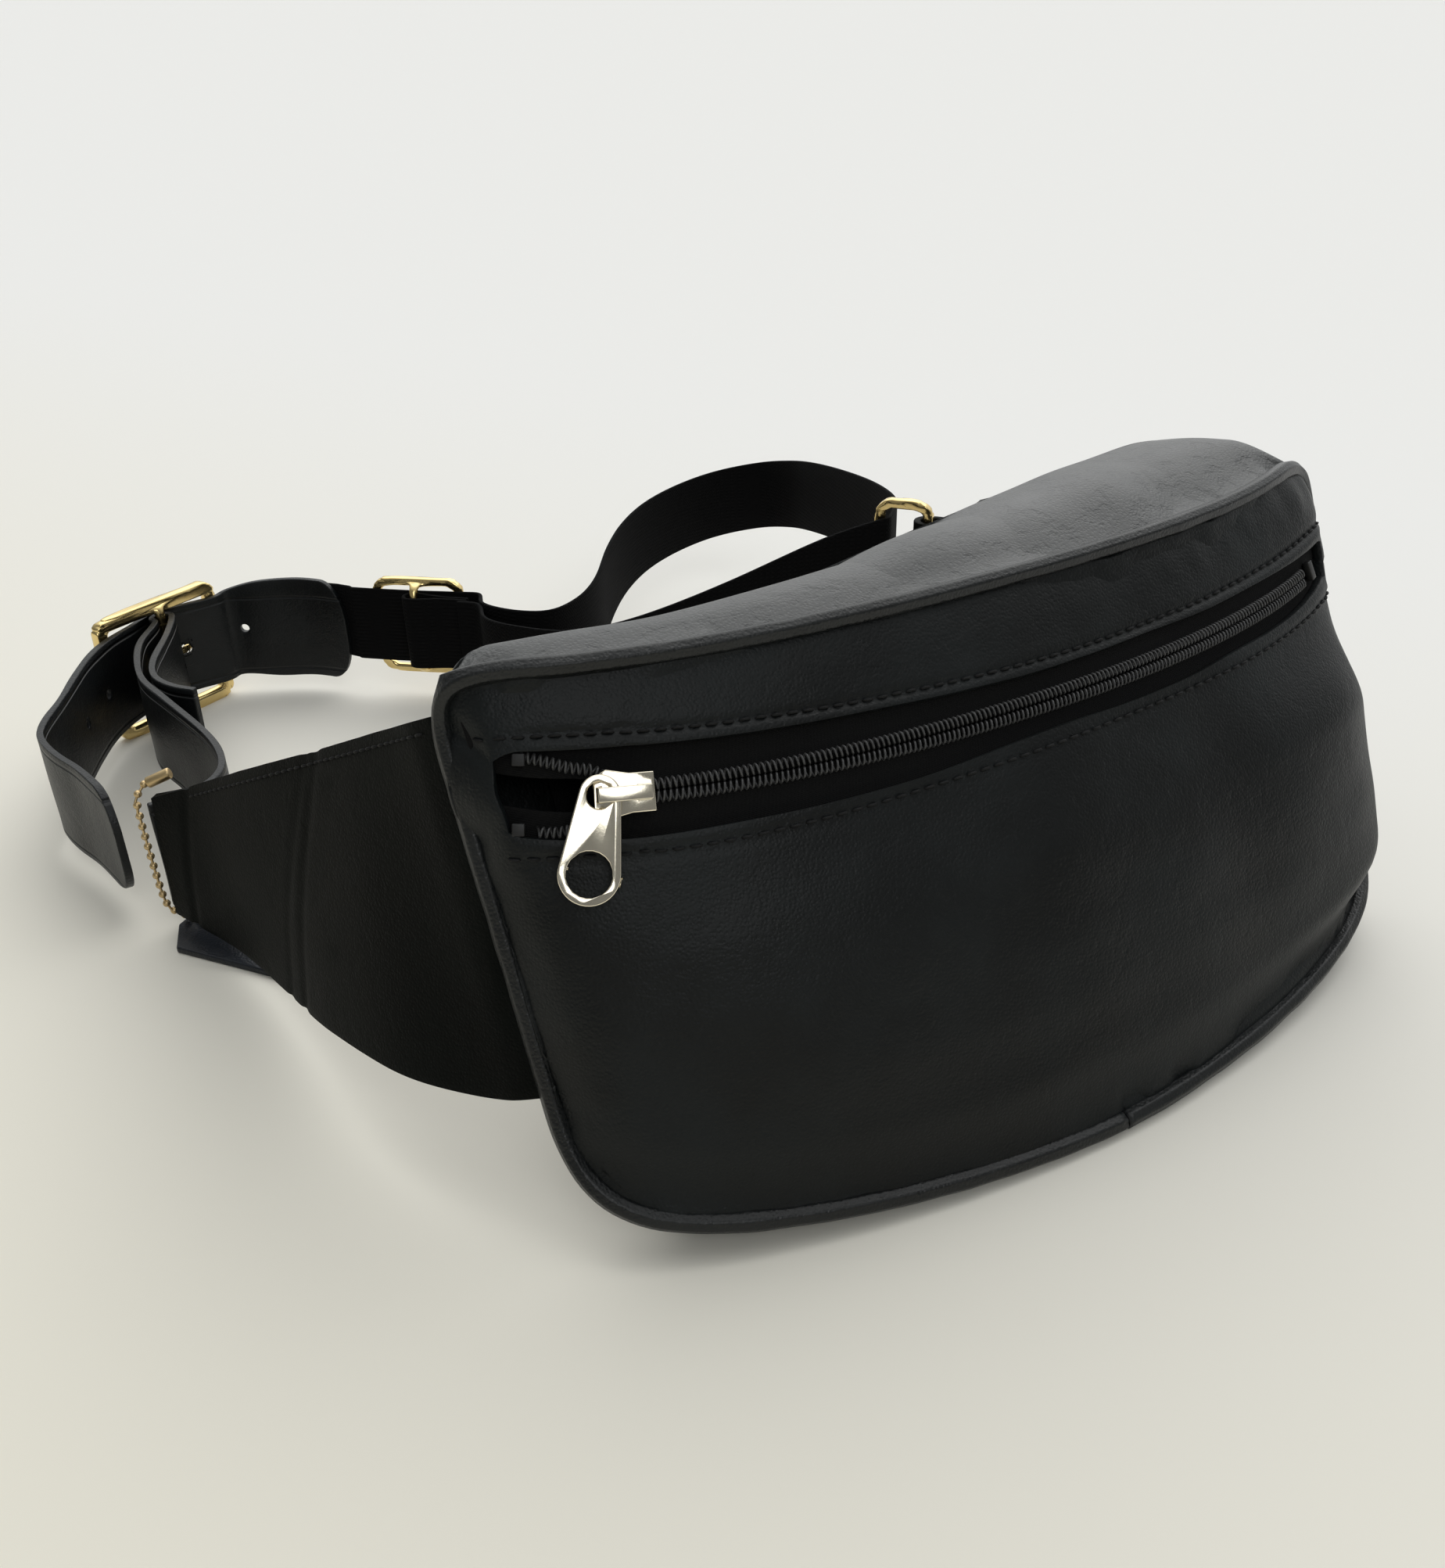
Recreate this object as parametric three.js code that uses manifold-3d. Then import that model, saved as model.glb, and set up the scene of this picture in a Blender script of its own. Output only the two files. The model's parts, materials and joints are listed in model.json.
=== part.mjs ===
// Leather waist pack, standing on its base and leaning back on its fastened belt.
// Millimetres, +Z up. X runs along the bag, -Y is the front, and the origin is the middle of the base.
import * as THREE from 'three';
import { mergeVertices } from 'three/addons/utils/BufferGeometryUtils.js';
import Module from 'manifold-3d';

const wasm = await Module();
wasm.setup();

// ---- driving dimensions ------------------------------------------------------------------------
const LEATHER = 1.8;            // thickness of the bag's leather
const WING_THICKNESS = 3.2;     // wing leather and its lining, glued and sewn
const STRAP_THICKNESS = 2.6;    // buckle strap and holed strap
const WEBBING_THICKNESS = 1.5;
const TAPE_THICKNESS = 0.8;     // zip tape
const LINING = 0.6;             // lining cloth
const GAP = 0.3;                // clearance between touching pieces

const TOP_HALF_WIDTH = 140.6;   // half the width of the front panel at its top seam
const BASE_HALF_WIDTH = 138;
const TOP_BOW = 32;             // how far the top seam bows forward of its corners
const BASE_BOW = 40.8;
const MID_BULGE = 9;            // extra bow at half height
const RIGHT_SWELL = 10;         // the right end puffs out below its top corner
const TOP_CORNER_Y = 82.5;      // the back plane leans: its top corners lie behind its base corners
const BASE_CORNER_Y = 21.6;
const TOP_CORNER_Z = 134.5;
const BASE_CORNER_Z = 15;
const TOP_DIP = 3.2;            // the middle of the top seam lies lower than its corners
const BASE_DIP = 12;
const TOP_ROUNDNESS = 2.2;      // exponents of the plan curves
const BASE_ROUNDNESS = 1.7;
const CORNER_TURN = 0.52;       // rounding of the panel's corners, along the curve (radians)
const CORNER_RISE = 0.15;       // and up the side (share of the height)

const PIPING_RADIUS = 2.7;
const RIDGE_END_INSET = 7;
const TOP_DOME = 6;             // how far the top gusset swells
const BACK_SWELL = 6;

const ZIP_HEIGHT = 0.79;        // share of the side's height at which the zip runs
const SLOT_HALF_HEIGHT = 10;    // the slot in the front panel
const SLOT_TURN = 1.2;          // half the slot's length, along the curve (radians)
const TAPE_COVER = 5;           // how far the tape reaches behind the panel
const COIL_RADIUS = 1.0;
const COIL_MESHED = 1.35;       // offset of a coil from the zip line where the coils mesh
const COIL_OPEN = 6.2;          // and left of the slider, where they are apart
const SLIDER_TURN = -0.88;      // where the slider stands along the curve (radians)
const SLIDER_LENGTH = 14;
const SLIDER_WIDTH = 11.5;
const SLIDER_PLATE = 1.8;
const SLIDER_CLEARANCE = 0.8;
const PULL_LENGTH = 30;
const PULL_WIDTH = 14.4;
const PULL_THICKNESS = 1.5;
const BRIDGE_RISE = 4.6;

const STRAP_HEIGHT = 38;
const PADDLE_HEIGHT = 44;
const WEBBING_HEIGHT = 32;
const HOLE_RADIUS = 1.9;
const HOLE_PITCH = 25;

const BUCKLE_WIDTH = 56;
const BUCKLE_HEIGHT = 52;
const BUCKLE_BAR = 4;           // thickness of the frame
const BUCKLE_RIM = 4.5;
const BUCKLE_PIN = 3;            // its centre bar
const PRONG_RADIUS = 1.5;
const GLIDE_WIDTH = 39;
const GLIDE_HEIGHT = 42;
const GLIDE_BAR = 3;
const RING_WIDTH = 22;
const RING_HEIGHT = 46;
const RING_WIRE = 3.4;

const CHAIN_BEAD = 1.25;        // bead radius
const CHAIN_PITCH = 3.7;
const TAG_LENGTH = 60;
const TAG_WIDTH = 38;
const TAG_THICKNESS = 2.4;

// ---- materials ---------------------------------------------------------------------------------
const paint = (color, roughness, metalness) =>
  new THREE.MeshStandardMaterial({ color, roughness, metalness });
const blackLeather = paint(0x17191a, 0.42, 0);
const blackWebbing = paint(0x0b0b0c, 0.85, 0);
const blackCloth = paint(0x101011, 0.9, 0);
const blackNylon = paint(0x0d0d0e, 0.5, 0);
const brass = paint(0xb08d3e, 0.28, 1);
const nickel = paint(0xc9c0a8, 0.22, 1);
const agedBrass = paint(0x8a6a3c, 0.38, 1);

const pack = new THREE.Group();
function add(name, geometry, material) {
  const mesh = new THREE.Mesh(geometry, material);
  mesh.name = name;
  pack.add(mesh);
  return mesh;
}

// ---- shared geometry ---------------------------------------------------------------------------
const lerp = THREE.MathUtils.lerp;
const clamp = THREE.MathUtils.clamp;
const v3 = (x, y, z) => new THREE.Vector3(x, y, z);
const range = (count, make) => Array.from({ length: count }, (_, i) => make(i, i / (count - 1)));

// A closed sheet over a grid of points: one face passes through the points and the other lies one
// thickness behind them, or before them if it is negative. Cells that keep() turns down are left open.
function sheet(columns, rows, place, thickness, keep = () => true) {
  const at = (i, j) => i * (rows + 1) + j;
  const outer = [];
  for (let i = 0; i <= columns; i++)
    for (let j = 0; j <= rows; j++) outer.push(place(i / columns, j / rows));
  const inner = outer.map((point, k) => {
    const i = Math.floor(k / (rows + 1));
    const j = k % (rows + 1);
    const along = outer[at(Math.min(i + 1, columns), j)].clone().sub(outer[at(Math.max(i - 1, 0), j)]);
    const up = outer[at(i, Math.min(j + 1, rows))].clone().sub(outer[at(i, Math.max(j - 1, 0))]);
    return point.clone().addScaledVector(along.cross(up).normalize(), -thickness);
  });
  const count = outer.length;
  const open = new Set();
  const triangles = [];
  const quad = thickness > 0
    ? (a, b, c, d) => triangles.push(a, b, c, a, c, d)
    : (a, b, c, d) => triangles.push(c, b, a, d, c, a);
  for (let i = 0; i < columns; i++) {
    for (let j = 0; j < rows; j++) {
      if (!keep(i, j)) open.add(at(i, j));
    }
  }
  const filled = (i, j) => i >= 0 && j >= 0 && i < columns && j < rows && !open.has(at(i, j));
  for (let i = 0; i < columns; i++) {
    for (let j = 0; j < rows; j++) {
      if (!filled(i, j)) continue;
      const [a, b, c, d] = [at(i, j), at(i + 1, j), at(i + 1, j + 1), at(i, j + 1)];
      quad(a, b, c, d);
      quad(d + count, c + count, b + count, a + count);
      if (!filled(i, j - 1)) quad(a + count, b + count, b, a);
      if (!filled(i, j + 1)) quad(c + count, d + count, d, c);
      if (!filled(i - 1, j)) quad(d + count, a + count, a, d);
      if (!filled(i + 1, j)) quad(b + count, c + count, c, b);
    }
  }
  const used = [...new Set(triangles)];
  const slot = new Map(used.map((old, k) => [old, k]));
  const points = used.flatMap((old) => (old < count ? outer[old] : inner[old - count]).toArray());
  const geometry = new THREE.BufferGeometry();
  geometry.setAttribute('position', new THREE.Float32BufferAttribute(points, 3));
  geometry.setIndex(triangles.map((old) => slot.get(old)));
  return geometry;
}

// A tube of the given outline along a curve.
function tube(curve, steps, radius, sides) {
  const corner = (i) => new THREE.Vector2(radius, 0).rotateAround(new THREE.Vector2(), (2 * Math.PI * i) / sides);
  const outline = new THREE.Shape(range(sides, corner));
  return new THREE.ExtrudeGeometry(outline, { steps, extrudePath: curve });
}

// Joins and cuts of closed geometries.
function solid(geometry) {
  const bare = geometry.clone();
  bare.deleteAttribute('normal');
  bare.deleteAttribute('uv');
  const merged = mergeVertices(bare, 1e-4);
  const vertProperties = new Float32Array(merged.attributes.position.array);
  const triVerts = new Uint32Array(merged.index.array);
  return new wasm.Manifold(new wasm.Mesh({ numProp: 3, vertProperties, triVerts }));
}
function geometryOf(manifold) {
  const mesh = manifold.getMesh();
  const geometry = new THREE.BufferGeometry();
  geometry.setAttribute('position', new THREE.BufferAttribute(mesh.vertProperties, 3));
  geometry.setIndex(new THREE.BufferAttribute(mesh.triVerts, 1));
  return geometry;
}

// A rectangle with round corners, centred on its origin, as a shape or as a hole.
function roundedRectangle(path, width, height, radius, x = 0, y = 0) {
  const [l, r, b, t] = [x - width / 2, x + width / 2, y - height / 2, y + height / 2];
  path.moveTo(l + radius, b);
  path.lineTo(r - radius, b);
  path.absarc(r - radius, b + radius, radius, -Math.PI / 2, 0, false);
  path.lineTo(r, t - radius);
  path.absarc(r - radius, t - radius, radius, 0, Math.PI / 2, false);
  path.lineTo(l + radius, t);
  path.absarc(l + radius, t - radius, radius, Math.PI / 2, Math.PI, false);
  path.lineTo(l, b + radius);
  path.absarc(l + radius, b + radius, radius, Math.PI, 1.5 * Math.PI, false);
  return path;
}
const plate = (shape, depth, curveSegments = 5) =>
  new THREE.ExtrudeGeometry(shape, { depth, bevelEnabled: false, curveSegments }).translate(0, 0, -depth / 2);

// ---- the bag's front surface -------------------------------------------------------------------
// turn is the angle along the bowed plan curve, from -PI/2 at the left corner to PI/2 at the right
// one, and rise is the share of the side's height.
function front(turn, rise) {
  const power = 2 / lerp(BASE_ROUNDNESS, TOP_ROUNDNESS, rise);
  const across = Math.sign(turn) * Math.abs(Math.sin(turn)) ** power;
  const bow = Math.abs(Math.cos(turn)) ** power;
  const depth = lerp(BASE_BOW, TOP_BOW, rise) + MID_BULGE * Math.sin(Math.PI * clamp(rise, 0, 1));
  const swell = RIGHT_SWELL * clamp(across, 0, 1) ** 4 * Math.sin(Math.PI * clamp(rise, 0, 1) ** 4.3);
  return v3(
    across * lerp(BASE_HALF_WIDTH, TOP_HALF_WIDTH, rise) + swell,
    lerp(BASE_CORNER_Y, TOP_CORNER_Y, rise) - depth * bow,
    lerp(BASE_CORNER_Z, TOP_CORNER_Z, rise) - lerp(BASE_DIP, TOP_DIP, rise) * bow);
}
function frontNormal(turn, rise) {
  const step = 1e-3;
  const along = front(turn + step, rise).sub(front(turn - step, rise));
  const up = front(turn, rise + step).sub(front(turn, rise - step));
  return along.cross(up).normalize();
}
const frontOut = (turn, rise, out) => front(turn, rise).addScaledVector(frontNormal(turn, rise), out);
const SIDE_HEIGHT = Math.hypot(TOP_CORNER_Y - BASE_CORNER_Y, TOP_CORNER_Z - BASE_CORNER_Z);
const backPlaneUp = v3(0, TOP_CORNER_Y - BASE_CORNER_Y, TOP_CORNER_Z - BASE_CORNER_Z).normalize();
const backward = v3(0, backPlaneUp.z, -backPlaneUp.y);

const SEAM_ROOM = PIPING_RADIUS + 5 * GAP;             // the piping's half width and its clearance
const EDGE = SEAM_ROOM / SIDE_HEIGHT;                // as a rise
const EDGE_TURN = SEAM_ROOM / (TOP_BOW - 7);         // and as a turn, at the sides

// How far along the curve the panel reaches at a height: its round corners lie inside the piping's.
function reach(rise) {
  const nearest = Math.min(rise, 1 - rise) - EDGE;
  const into = clamp(1 - nearest / (CORNER_RISE - EDGE), 0, 1);
  return Math.PI / 2 - EDGE_TURN - (CORNER_TURN - 1.25 * EDGE_TURN) * (1 - Math.sqrt(1 - into * into));
}
const PANEL_COLUMNS = 32;
const PANEL_ROWS = 11;
const SLOT_ROW = 7;
const slotRise = SLOT_HALF_HEIGHT / SIDE_HEIGHT;
const panelRises = [
  ...range(SLOT_ROW + 1, (i, t) => lerp(EDGE, ZIP_HEIGHT - slotRise, t)),
  ...range(PANEL_ROWS - SLOT_ROW, (i, t) => lerp(ZIP_HEIGHT + slotRise, 1 - EDGE, t)),
];
const panelTurn = (t, rise) => (2 * t - 1) * reach(rise);
const cellTurn = (i) => panelTurn((i + 0.5) / PANEL_COLUMNS, ZIP_HEIGHT);
const inSlot = (i, j) => j === SLOT_ROW && Math.abs(cellTurn(i)) < SLOT_TURN;
add('front_panel', sheet(PANEL_COLUMNS, PANEL_ROWS, (t, q) => {
  const rise = panelRises[Math.round(q * PANEL_ROWS)];
  return front(panelTurn(t, rise), rise);
}, LEATHER, (i, j) => !inSlot(i, j)), blackLeather);

// ---- piping round the front panel --------------------------------------------------------------
// It starts and ends at the middle of the base, where its two ends meet.
const pipingRoute = [];
const SEAM_TURN = 0.004;
const flat = Math.PI / 2 - CORNER_TURN;
const quarter = (from, to, count, make) => range(count, (i, t) => make(lerp(from, to, t))).slice(1);
pipingRoute.push(...range(13, (i, t) => [lerp(SEAM_TURN, flat, t), 0]));
pipingRoute.push(...quarter(0, Math.PI / 2, 7, (a) =>
  [flat + CORNER_TURN * Math.sin(a), CORNER_RISE * (1 - Math.cos(a))]));
pipingRoute.push(...quarter(CORNER_RISE, 1 - CORNER_RISE, 9, (rise) => [Math.PI / 2, rise]));
pipingRoute.push(...quarter(0, Math.PI / 2, 7, (a) =>
  [flat + CORNER_TURN * Math.cos(a), 1 - CORNER_RISE * (1 - Math.sin(a))]));
const rightHalf = pipingRoute;
const topRun = range(25, (i, t) => [lerp(flat, -flat, t), 1]).slice(1, -1);
const leftHalf = rightHalf.map(([turn, rise]) => [-turn, rise]).reverse();
const pipingCurve = new THREE.CatmullRomCurve3(
  [...rightHalf, ...topRun, ...leftHalf].map(([turn, rise]) => front(turn, rise)), false, 'centripetal');
add('front_piping', tube(pipingCurve, 92, PIPING_RADIUS, 7), blackLeather);

// ---- top gusset, back panel and bottom gusset --------------------------------------------------
// The ridge where the top gusset meets the back panel sags on the left and stands back on the right.
const RIDGE_END = TOP_HALF_WIDTH - RIDGE_END_INSET;
const ridgeCurve = new THREE.CatmullRomCurve3([
  [-RIDGE_END, 2, -3], [-98, 1.5, -8.5], [-68, 2.5, -9.5], [-36, 4.5, -7.5], [0, 8.5, -3.5],
  [40, 13.5, -0.5], [80, 19.5, 1.5], [113, 22.5, 2], [RIDGE_END, 3, -1],
].map(([x, behind, above]) => v3(x, TOP_CORNER_Y + behind, TOP_CORNER_Z + above)));
const TOP_COLUMNS = 26;
const topTurn = Math.PI / 2 - CORNER_TURN * 0.7;
add('top_gusset', sheet(TOP_COLUMNS, 5, (t, q) => {
  const near = front((2 * t - 1) * topTurn, 1).add(v3(0, PIPING_RADIUS + GAP, -0.4));
  const far = ridgeCurve.getPoint(t);
  const swell = TOP_DOME * Math.sin(Math.PI * q) * Math.min(1, far.distanceTo(near) / 25);
  return near.lerp(far, q).add(v3(0, 0, swell));
}, LEATHER), blackLeather);

const BACK_COLUMNS = 22;
const BACK_END = BASE_HALF_WIDTH - 3.4;
const BACK_CLEARANCE = 3.4;      // the back panel's lowest point stands this high
const backBase = (t) => {
  const across = 2 * t - 1;
  const drop = (BASE_CORNER_Z - BACK_CLEARANCE) * (1 - Math.abs(across) ** 2.5);
  return v3(across * BACK_END, BASE_CORNER_Y + 1.2 - 5 * (1 - across ** 2), BASE_CORNER_Z - drop);
};
const backPoint = (t, q) => {
  const high = ridgeCurve.getPoint(t).addScaledVector(backward, GAP).addScaledVector(backPlaneUp, -LEATHER);
  const swell = GAP + LEATHER + BACK_SWELL * Math.sin(Math.PI * q) * (1 - (2 * t - 1) ** 4);
  return backBase(t).lerp(high, q).addScaledVector(backward, swell);
};
add('back_panel', sheet(BACK_COLUMNS, 6, backPoint, -LEATHER), blackLeather);

const baseTurn = Math.PI / 2 - CORNER_TURN;
const FLAT_SHARE = 0.45;        // the middle of the base that lies flat
const BASE_END_LIFT = 9;
const baseLift = (share) =>
  BASE_END_LIFT * Math.max(0, (Math.abs(share) - FLAT_SHARE) / (1 - FLAT_SHARE)) ** 1.6;
add('bottom_gusset', sheet(26, 3, (t, q) => {
  const near = front((2 * t - 1) * baseTurn, 0).add(v3(0, PIPING_RADIUS + 2 * GAP, 0));
  const far = backBase(clamp(0.5 + near.x / (2 * BACK_END), 0, 1));
  const point = near.lerp(far.add(v3(0, -GAP, 0)), q);
  return v3(point.x, point.y, baseLift(point.x / BASE_HALF_WIDTH));
}, -LEATHER), blackLeather);

// ---- lining ------------------------------------------------------------------------------------
const LINING_DEPTH = LEATHER + 3 * GAP;
add('lining_front', sheet(18, 4, (t, q) => {
  const rise = lerp(CORNER_RISE, ZIP_HEIGHT - slotRise - (TAPE_COVER + 2) / SIDE_HEIGHT, q);
  return frontOut((2 * t - 1) * 1.15, rise, -LINING_DEPTH);
}, LINING), blackCloth);
add('lining_back', sheet(18, 4, (t, q) =>
  backPoint(lerp(0.06, 0.94, t), lerp(0.06, 0.88, q)).addScaledVector(backward, -LEATHER - 2 * GAP),
-LINING), blackCloth);

// ---- zip ---------------------------------------------------------------------------------------
// Offsets along the panel, up from the zip line, are turned into rises; out is along the normal.
const zipPoint = (turn, up, out) => frontOut(turn, ZIP_HEIGHT + up / SIDE_HEIGHT, out);
const TAPE_OUT = -(LEATHER + 2.5 * GAP);
const TAPE_TURN = SLOT_TURN + 0.05;
const COIL_TURN = SLOT_TURN - 0.2;
const openShare = (turn) => clamp((SLIDER_TURN + 0.02 - turn) / 0.1, 0, 1);
const coilOffset = (turn) => lerp(COIL_MESHED, COIL_OPEN, THREE.MathUtils.smoothstep(openShare(turn), 0, 1));
const tapeEdge = (turn) => lerp(GAP / 2, COIL_OPEN - 2.4, THREE.MathUtils.smoothstep(openShare(turn), 0, 1));
for (const [side, name] of [[1, 'upper'], [-1, 'lower']]) {
  add(`zip_tape_${name}`, sheet(34, 2, (t, q) => {
    const turn = lerp(-TAPE_TURN, TAPE_TURN, t);
    const outerEdge = side * (SLOT_HALF_HEIGHT + TAPE_COVER);
    const innerEdge = side * tapeEdge(turn);
    return zipPoint(turn, side > 0 ? lerp(innerEdge, outerEdge, q) : lerp(outerEdge, innerEdge, q), TAPE_OUT);
  }, TAPE_THICKNESS), blackCloth);
  const route = range(34, (i, t) => {
    const turn = lerp(-COIL_TURN, COIL_TURN, t);
    return zipPoint(turn, side * coilOffset(turn), TAPE_OUT + GAP + COIL_RADIUS);
  });
  add(`zip_coil_${name}`, tube(new THREE.CatmullRomCurve3(route), 46, COIL_RADIUS, 6), blackNylon);
}
// A local frame on the zip line: x along it to the right, y up the panel, z outwards.
function zipFrame(turn, out) {
  const along = front(turn + 1e-3, ZIP_HEIGHT).sub(front(turn - 1e-3, ZIP_HEIGHT)).normalize();
  const normal = frontNormal(turn, ZIP_HEIGHT);
  const up = normal.clone().cross(along).normalize();
  return new THREE.Matrix4().makeBasis(along, up, normal).setPosition(frontOut(turn, ZIP_HEIGHT, out));
}
const STOP_LENGTH = 3;
const STOP_TURN = COIL_TURN + (STOP_LENGTH / 2 + 6 * GAP) / (TOP_HALF_WIDTH * Math.cos(SLOT_TURN));
const stopBlock = (turn, up, height) => new THREE.BoxGeometry(STOP_LENGTH, height, 2)
  .translate(0, up, 0).applyMatrix4(zipFrame(turn, TAPE_OUT + GAP + 1));
add('zip_stop_upper', stopBlock(-STOP_TURN, COIL_OPEN, 3), blackNylon);
add('zip_stop_lower', stopBlock(-STOP_TURN, -COIL_OPEN, 3), blackNylon);
add('zip_stop_right', stopBlock(STOP_TURN, 0, 2 * COIL_MESHED + 3), blackNylon);

// Slider: a shield-shaped plate over the coils with a bridge whose left leg carries the pull.
const coilTop = TAPE_OUT + GAP + 2 * COIL_RADIUS;
const plateLow = coilTop + SLIDER_CLEARANCE;
const sliderShape = new THREE.Shape();
sliderShape.moveTo(-SLIDER_LENGTH / 2, -SLIDER_WIDTH * 0.36);
sliderShape.lineTo(-SLIDER_LENGTH * 0.28, -SLIDER_WIDTH / 2);
sliderShape.lineTo(SLIDER_LENGTH * 0.1, -SLIDER_WIDTH * 0.4);
sliderShape.lineTo(SLIDER_LENGTH / 2, -SLIDER_WIDTH * 0.4);
sliderShape.lineTo(SLIDER_LENGTH / 2, SLIDER_WIDTH * 0.4);
sliderShape.lineTo(SLIDER_LENGTH * 0.1, SLIDER_WIDTH * 0.4);
sliderShape.lineTo(-SLIDER_LENGTH * 0.28, SLIDER_WIDTH / 2);
sliderShape.lineTo(-SLIDER_LENGTH / 2, SLIDER_WIDTH * 0.36);
const BRIDGE_WIDTH = 3.4;
const BRIDGE_THICKNESS = 1.4;
const LEG_X = -SLIDER_LENGTH / 2 + 1.2;
const bridgeShape = new THREE.Shape();
bridgeShape.moveTo(LEG_X - BRIDGE_THICKNESS / 2, -0.4);
bridgeShape.lineTo(LEG_X - BRIDGE_THICKNESS / 2, BRIDGE_RISE);
bridgeShape.lineTo(SLIDER_LENGTH / 2 - 1, BRIDGE_RISE);
bridgeShape.lineTo(SLIDER_LENGTH / 2 - 1, -0.4);
bridgeShape.lineTo(SLIDER_LENGTH / 2 - 1 - 2 * BRIDGE_THICKNESS, -0.4);
bridgeShape.lineTo(SLIDER_LENGTH / 2 - 1 - 2 * BRIDGE_THICKNESS, BRIDGE_RISE - BRIDGE_THICKNESS);
bridgeShape.lineTo(LEG_X + BRIDGE_THICKNESS / 2, BRIDGE_RISE - BRIDGE_THICKNESS);
bridgeShape.lineTo(LEG_X + BRIDGE_THICKNESS / 2, -0.4);
const bridge = plate(bridgeShape, BRIDGE_WIDTH).rotateX(Math.PI / 2).translate(0, 0, SLIDER_PLATE / 2);
const sliderSolid = solid(plate(sliderShape, SLIDER_PLATE)).add(solid(bridge));
const sliderFrame = zipFrame(SLIDER_TURN, plateLow + SLIDER_PLATE / 2);
add('zip_slider', geometryOf(sliderSolid).applyMatrix4(sliderFrame), nickel);

// The pull hangs on the bridge's leg and lies close to the panel.
const PULL_TOP_RADIUS = 4.8;
const pullReach = PULL_LENGTH - PULL_WIDTH / 2 - PULL_TOP_RADIUS;
const pullTaper = Math.asin((PULL_WIDTH / 2 - PULL_TOP_RADIUS) / pullReach);
const pullBody = new THREE.Shape();
pullBody.absarc(0, 0, PULL_TOP_RADIUS, pullTaper, Math.PI - pullTaper, false);
pullBody.absarc(0, -pullReach, PULL_WIDTH / 2, Math.PI - pullTaper, 2 * Math.PI + pullTaper, false);
const pullHoles = [[0, 0, 3.1], [0, -pullReach, PULL_WIDTH / 2 - 1.9]];
for (const [x, y, r] of pullHoles) {
  const hole = new THREE.Path();
  hole.absarc(x, y, r, 0, 2 * Math.PI, true);
  pullBody.holes.push(hole);
}
const PULL_TILT = THREE.MathUtils.degToRad(-12.5);         // it hangs straight down, not square to the zip
const pullFrame = sliderFrame.clone()
  .multiply(new THREE.Matrix4().makeTranslation(LEG_X, 0, SLIDER_PLATE / 2 + GAP + PULL_THICKNESS / 2))
  .multiply(new THREE.Matrix4().makeRotationZ(PULL_TILT));
add('zip_pull', plate(pullBody, PULL_THICKNESS, 10).applyMatrix4(pullFrame), nickel);

// ---- belt pieces: upright strips along a plan route --------------------------------------------
// A route is a list of [x, y, z of the top edge]; a strip hangs its height below it.
const routeCurve = (points) => new THREE.CatmullRomCurve3(points.map((p) => v3(...p)), false, 'centripetal');
function strip(points, steps, height, thickness) {
  const curve = routeCurve(points);
  const high = typeof height === 'function' ? height : () => height;
  return sheet(steps, 1, (t, q) => {
    const point = curve.getPoint(t);
    const tangent = curve.getTangent(t);
    const side = v3(-tangent.y, tangent.x, 0).normalize();
    return point.addScaledVector(side, -thickness / 2).add(v3(0, 0, -high(t) * (1 - q)));
  }, thickness);
}

// A point just behind the side seam, where a wing is sewn in.
const seat = (side, rise, out, behind) =>
  front((side * Math.PI) / 2, rise).add(v3(side * out, behind, 0)).toArray();

// Left wing: from the side seam round to the belt, its lower edge in an S.
const wingTop = routeCurve([
  seat(-1, 0.874, 0.9, 4.8), [-144.5, 97, 112], [-150.5, 117, 102], [-157.5, 138, 89.5],
  [-165, 156, 79], [-174, 182, 65.5], [-182, 201, 54.5], [-190.5, 210, 50.5]]);
const wingLow = routeCurve([seat(-1, 0.176, 1.7, 3.3), [-148, 48, 31.5], [-159, 66, 28], [-165.5, 86, 25],
  [-169.5, 112, 19], [-172.5, 140, 12.5], [-179, 178, 8], [-190.5, 210.5, 6.5]]);
add('left_wing', sheet(20, 4, (t, q) => wingLow.getPoint(t).lerp(wingTop.getPoint(t), q), WING_THICKNESS),
  blackLeather);

// Right wing: folded back behind the bag, to the ring's tab.
const rightTop = routeCurve([seat(1, 0.929, -6.7, 3.3), [140, 96, 131], [133, 111, 130], [122, 131, 121],
  [111, 152, 109], [100, 173, 99]]);
const rightLow = routeCurve([seat(1, 0.176, 1.3, 4.2), [141, 48, 38], [138, 72, 41], [129, 106, 47],
  [115, 141, 52], [100, 174, 56]]);
add('right_wing', sheet(16, 4, (t, q) => rightLow.getPoint(t).lerp(rightTop.getPoint(t), q), -WING_THICKNESS),
  blackLeather);

// Ring and its tab.
const RING_AT = v3(86, 197, 73);
const beltOut = v3(-0.62, 0.785, 0).normalize();          // from the right wing towards the ring
const ringShape = roundedRectangle(new THREE.Shape(), RING_WIDTH, RING_HEIGHT, 7);
ringShape.holes.push(
  roundedRectangle(new THREE.Path(), RING_WIDTH - 2 * RING_WIRE, RING_HEIGHT - 2 * RING_WIRE, 3));
const uprightFrame = (along, at) =>
  new THREE.Matrix4().makeBasis(along, v3(0, 0, 1), along.clone().cross(v3(0, 0, 1))).setPosition(at);
add('ring', plate(ringShape, RING_WIRE).applyMatrix4(uprightFrame(beltOut, RING_AT)), brass);

// Radius of a strip's middle round a square bar.
const wrapRadius = (bar, thickness) => bar * Math.SQRT1_2 + 2 * GAP + thickness / 2;
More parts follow.
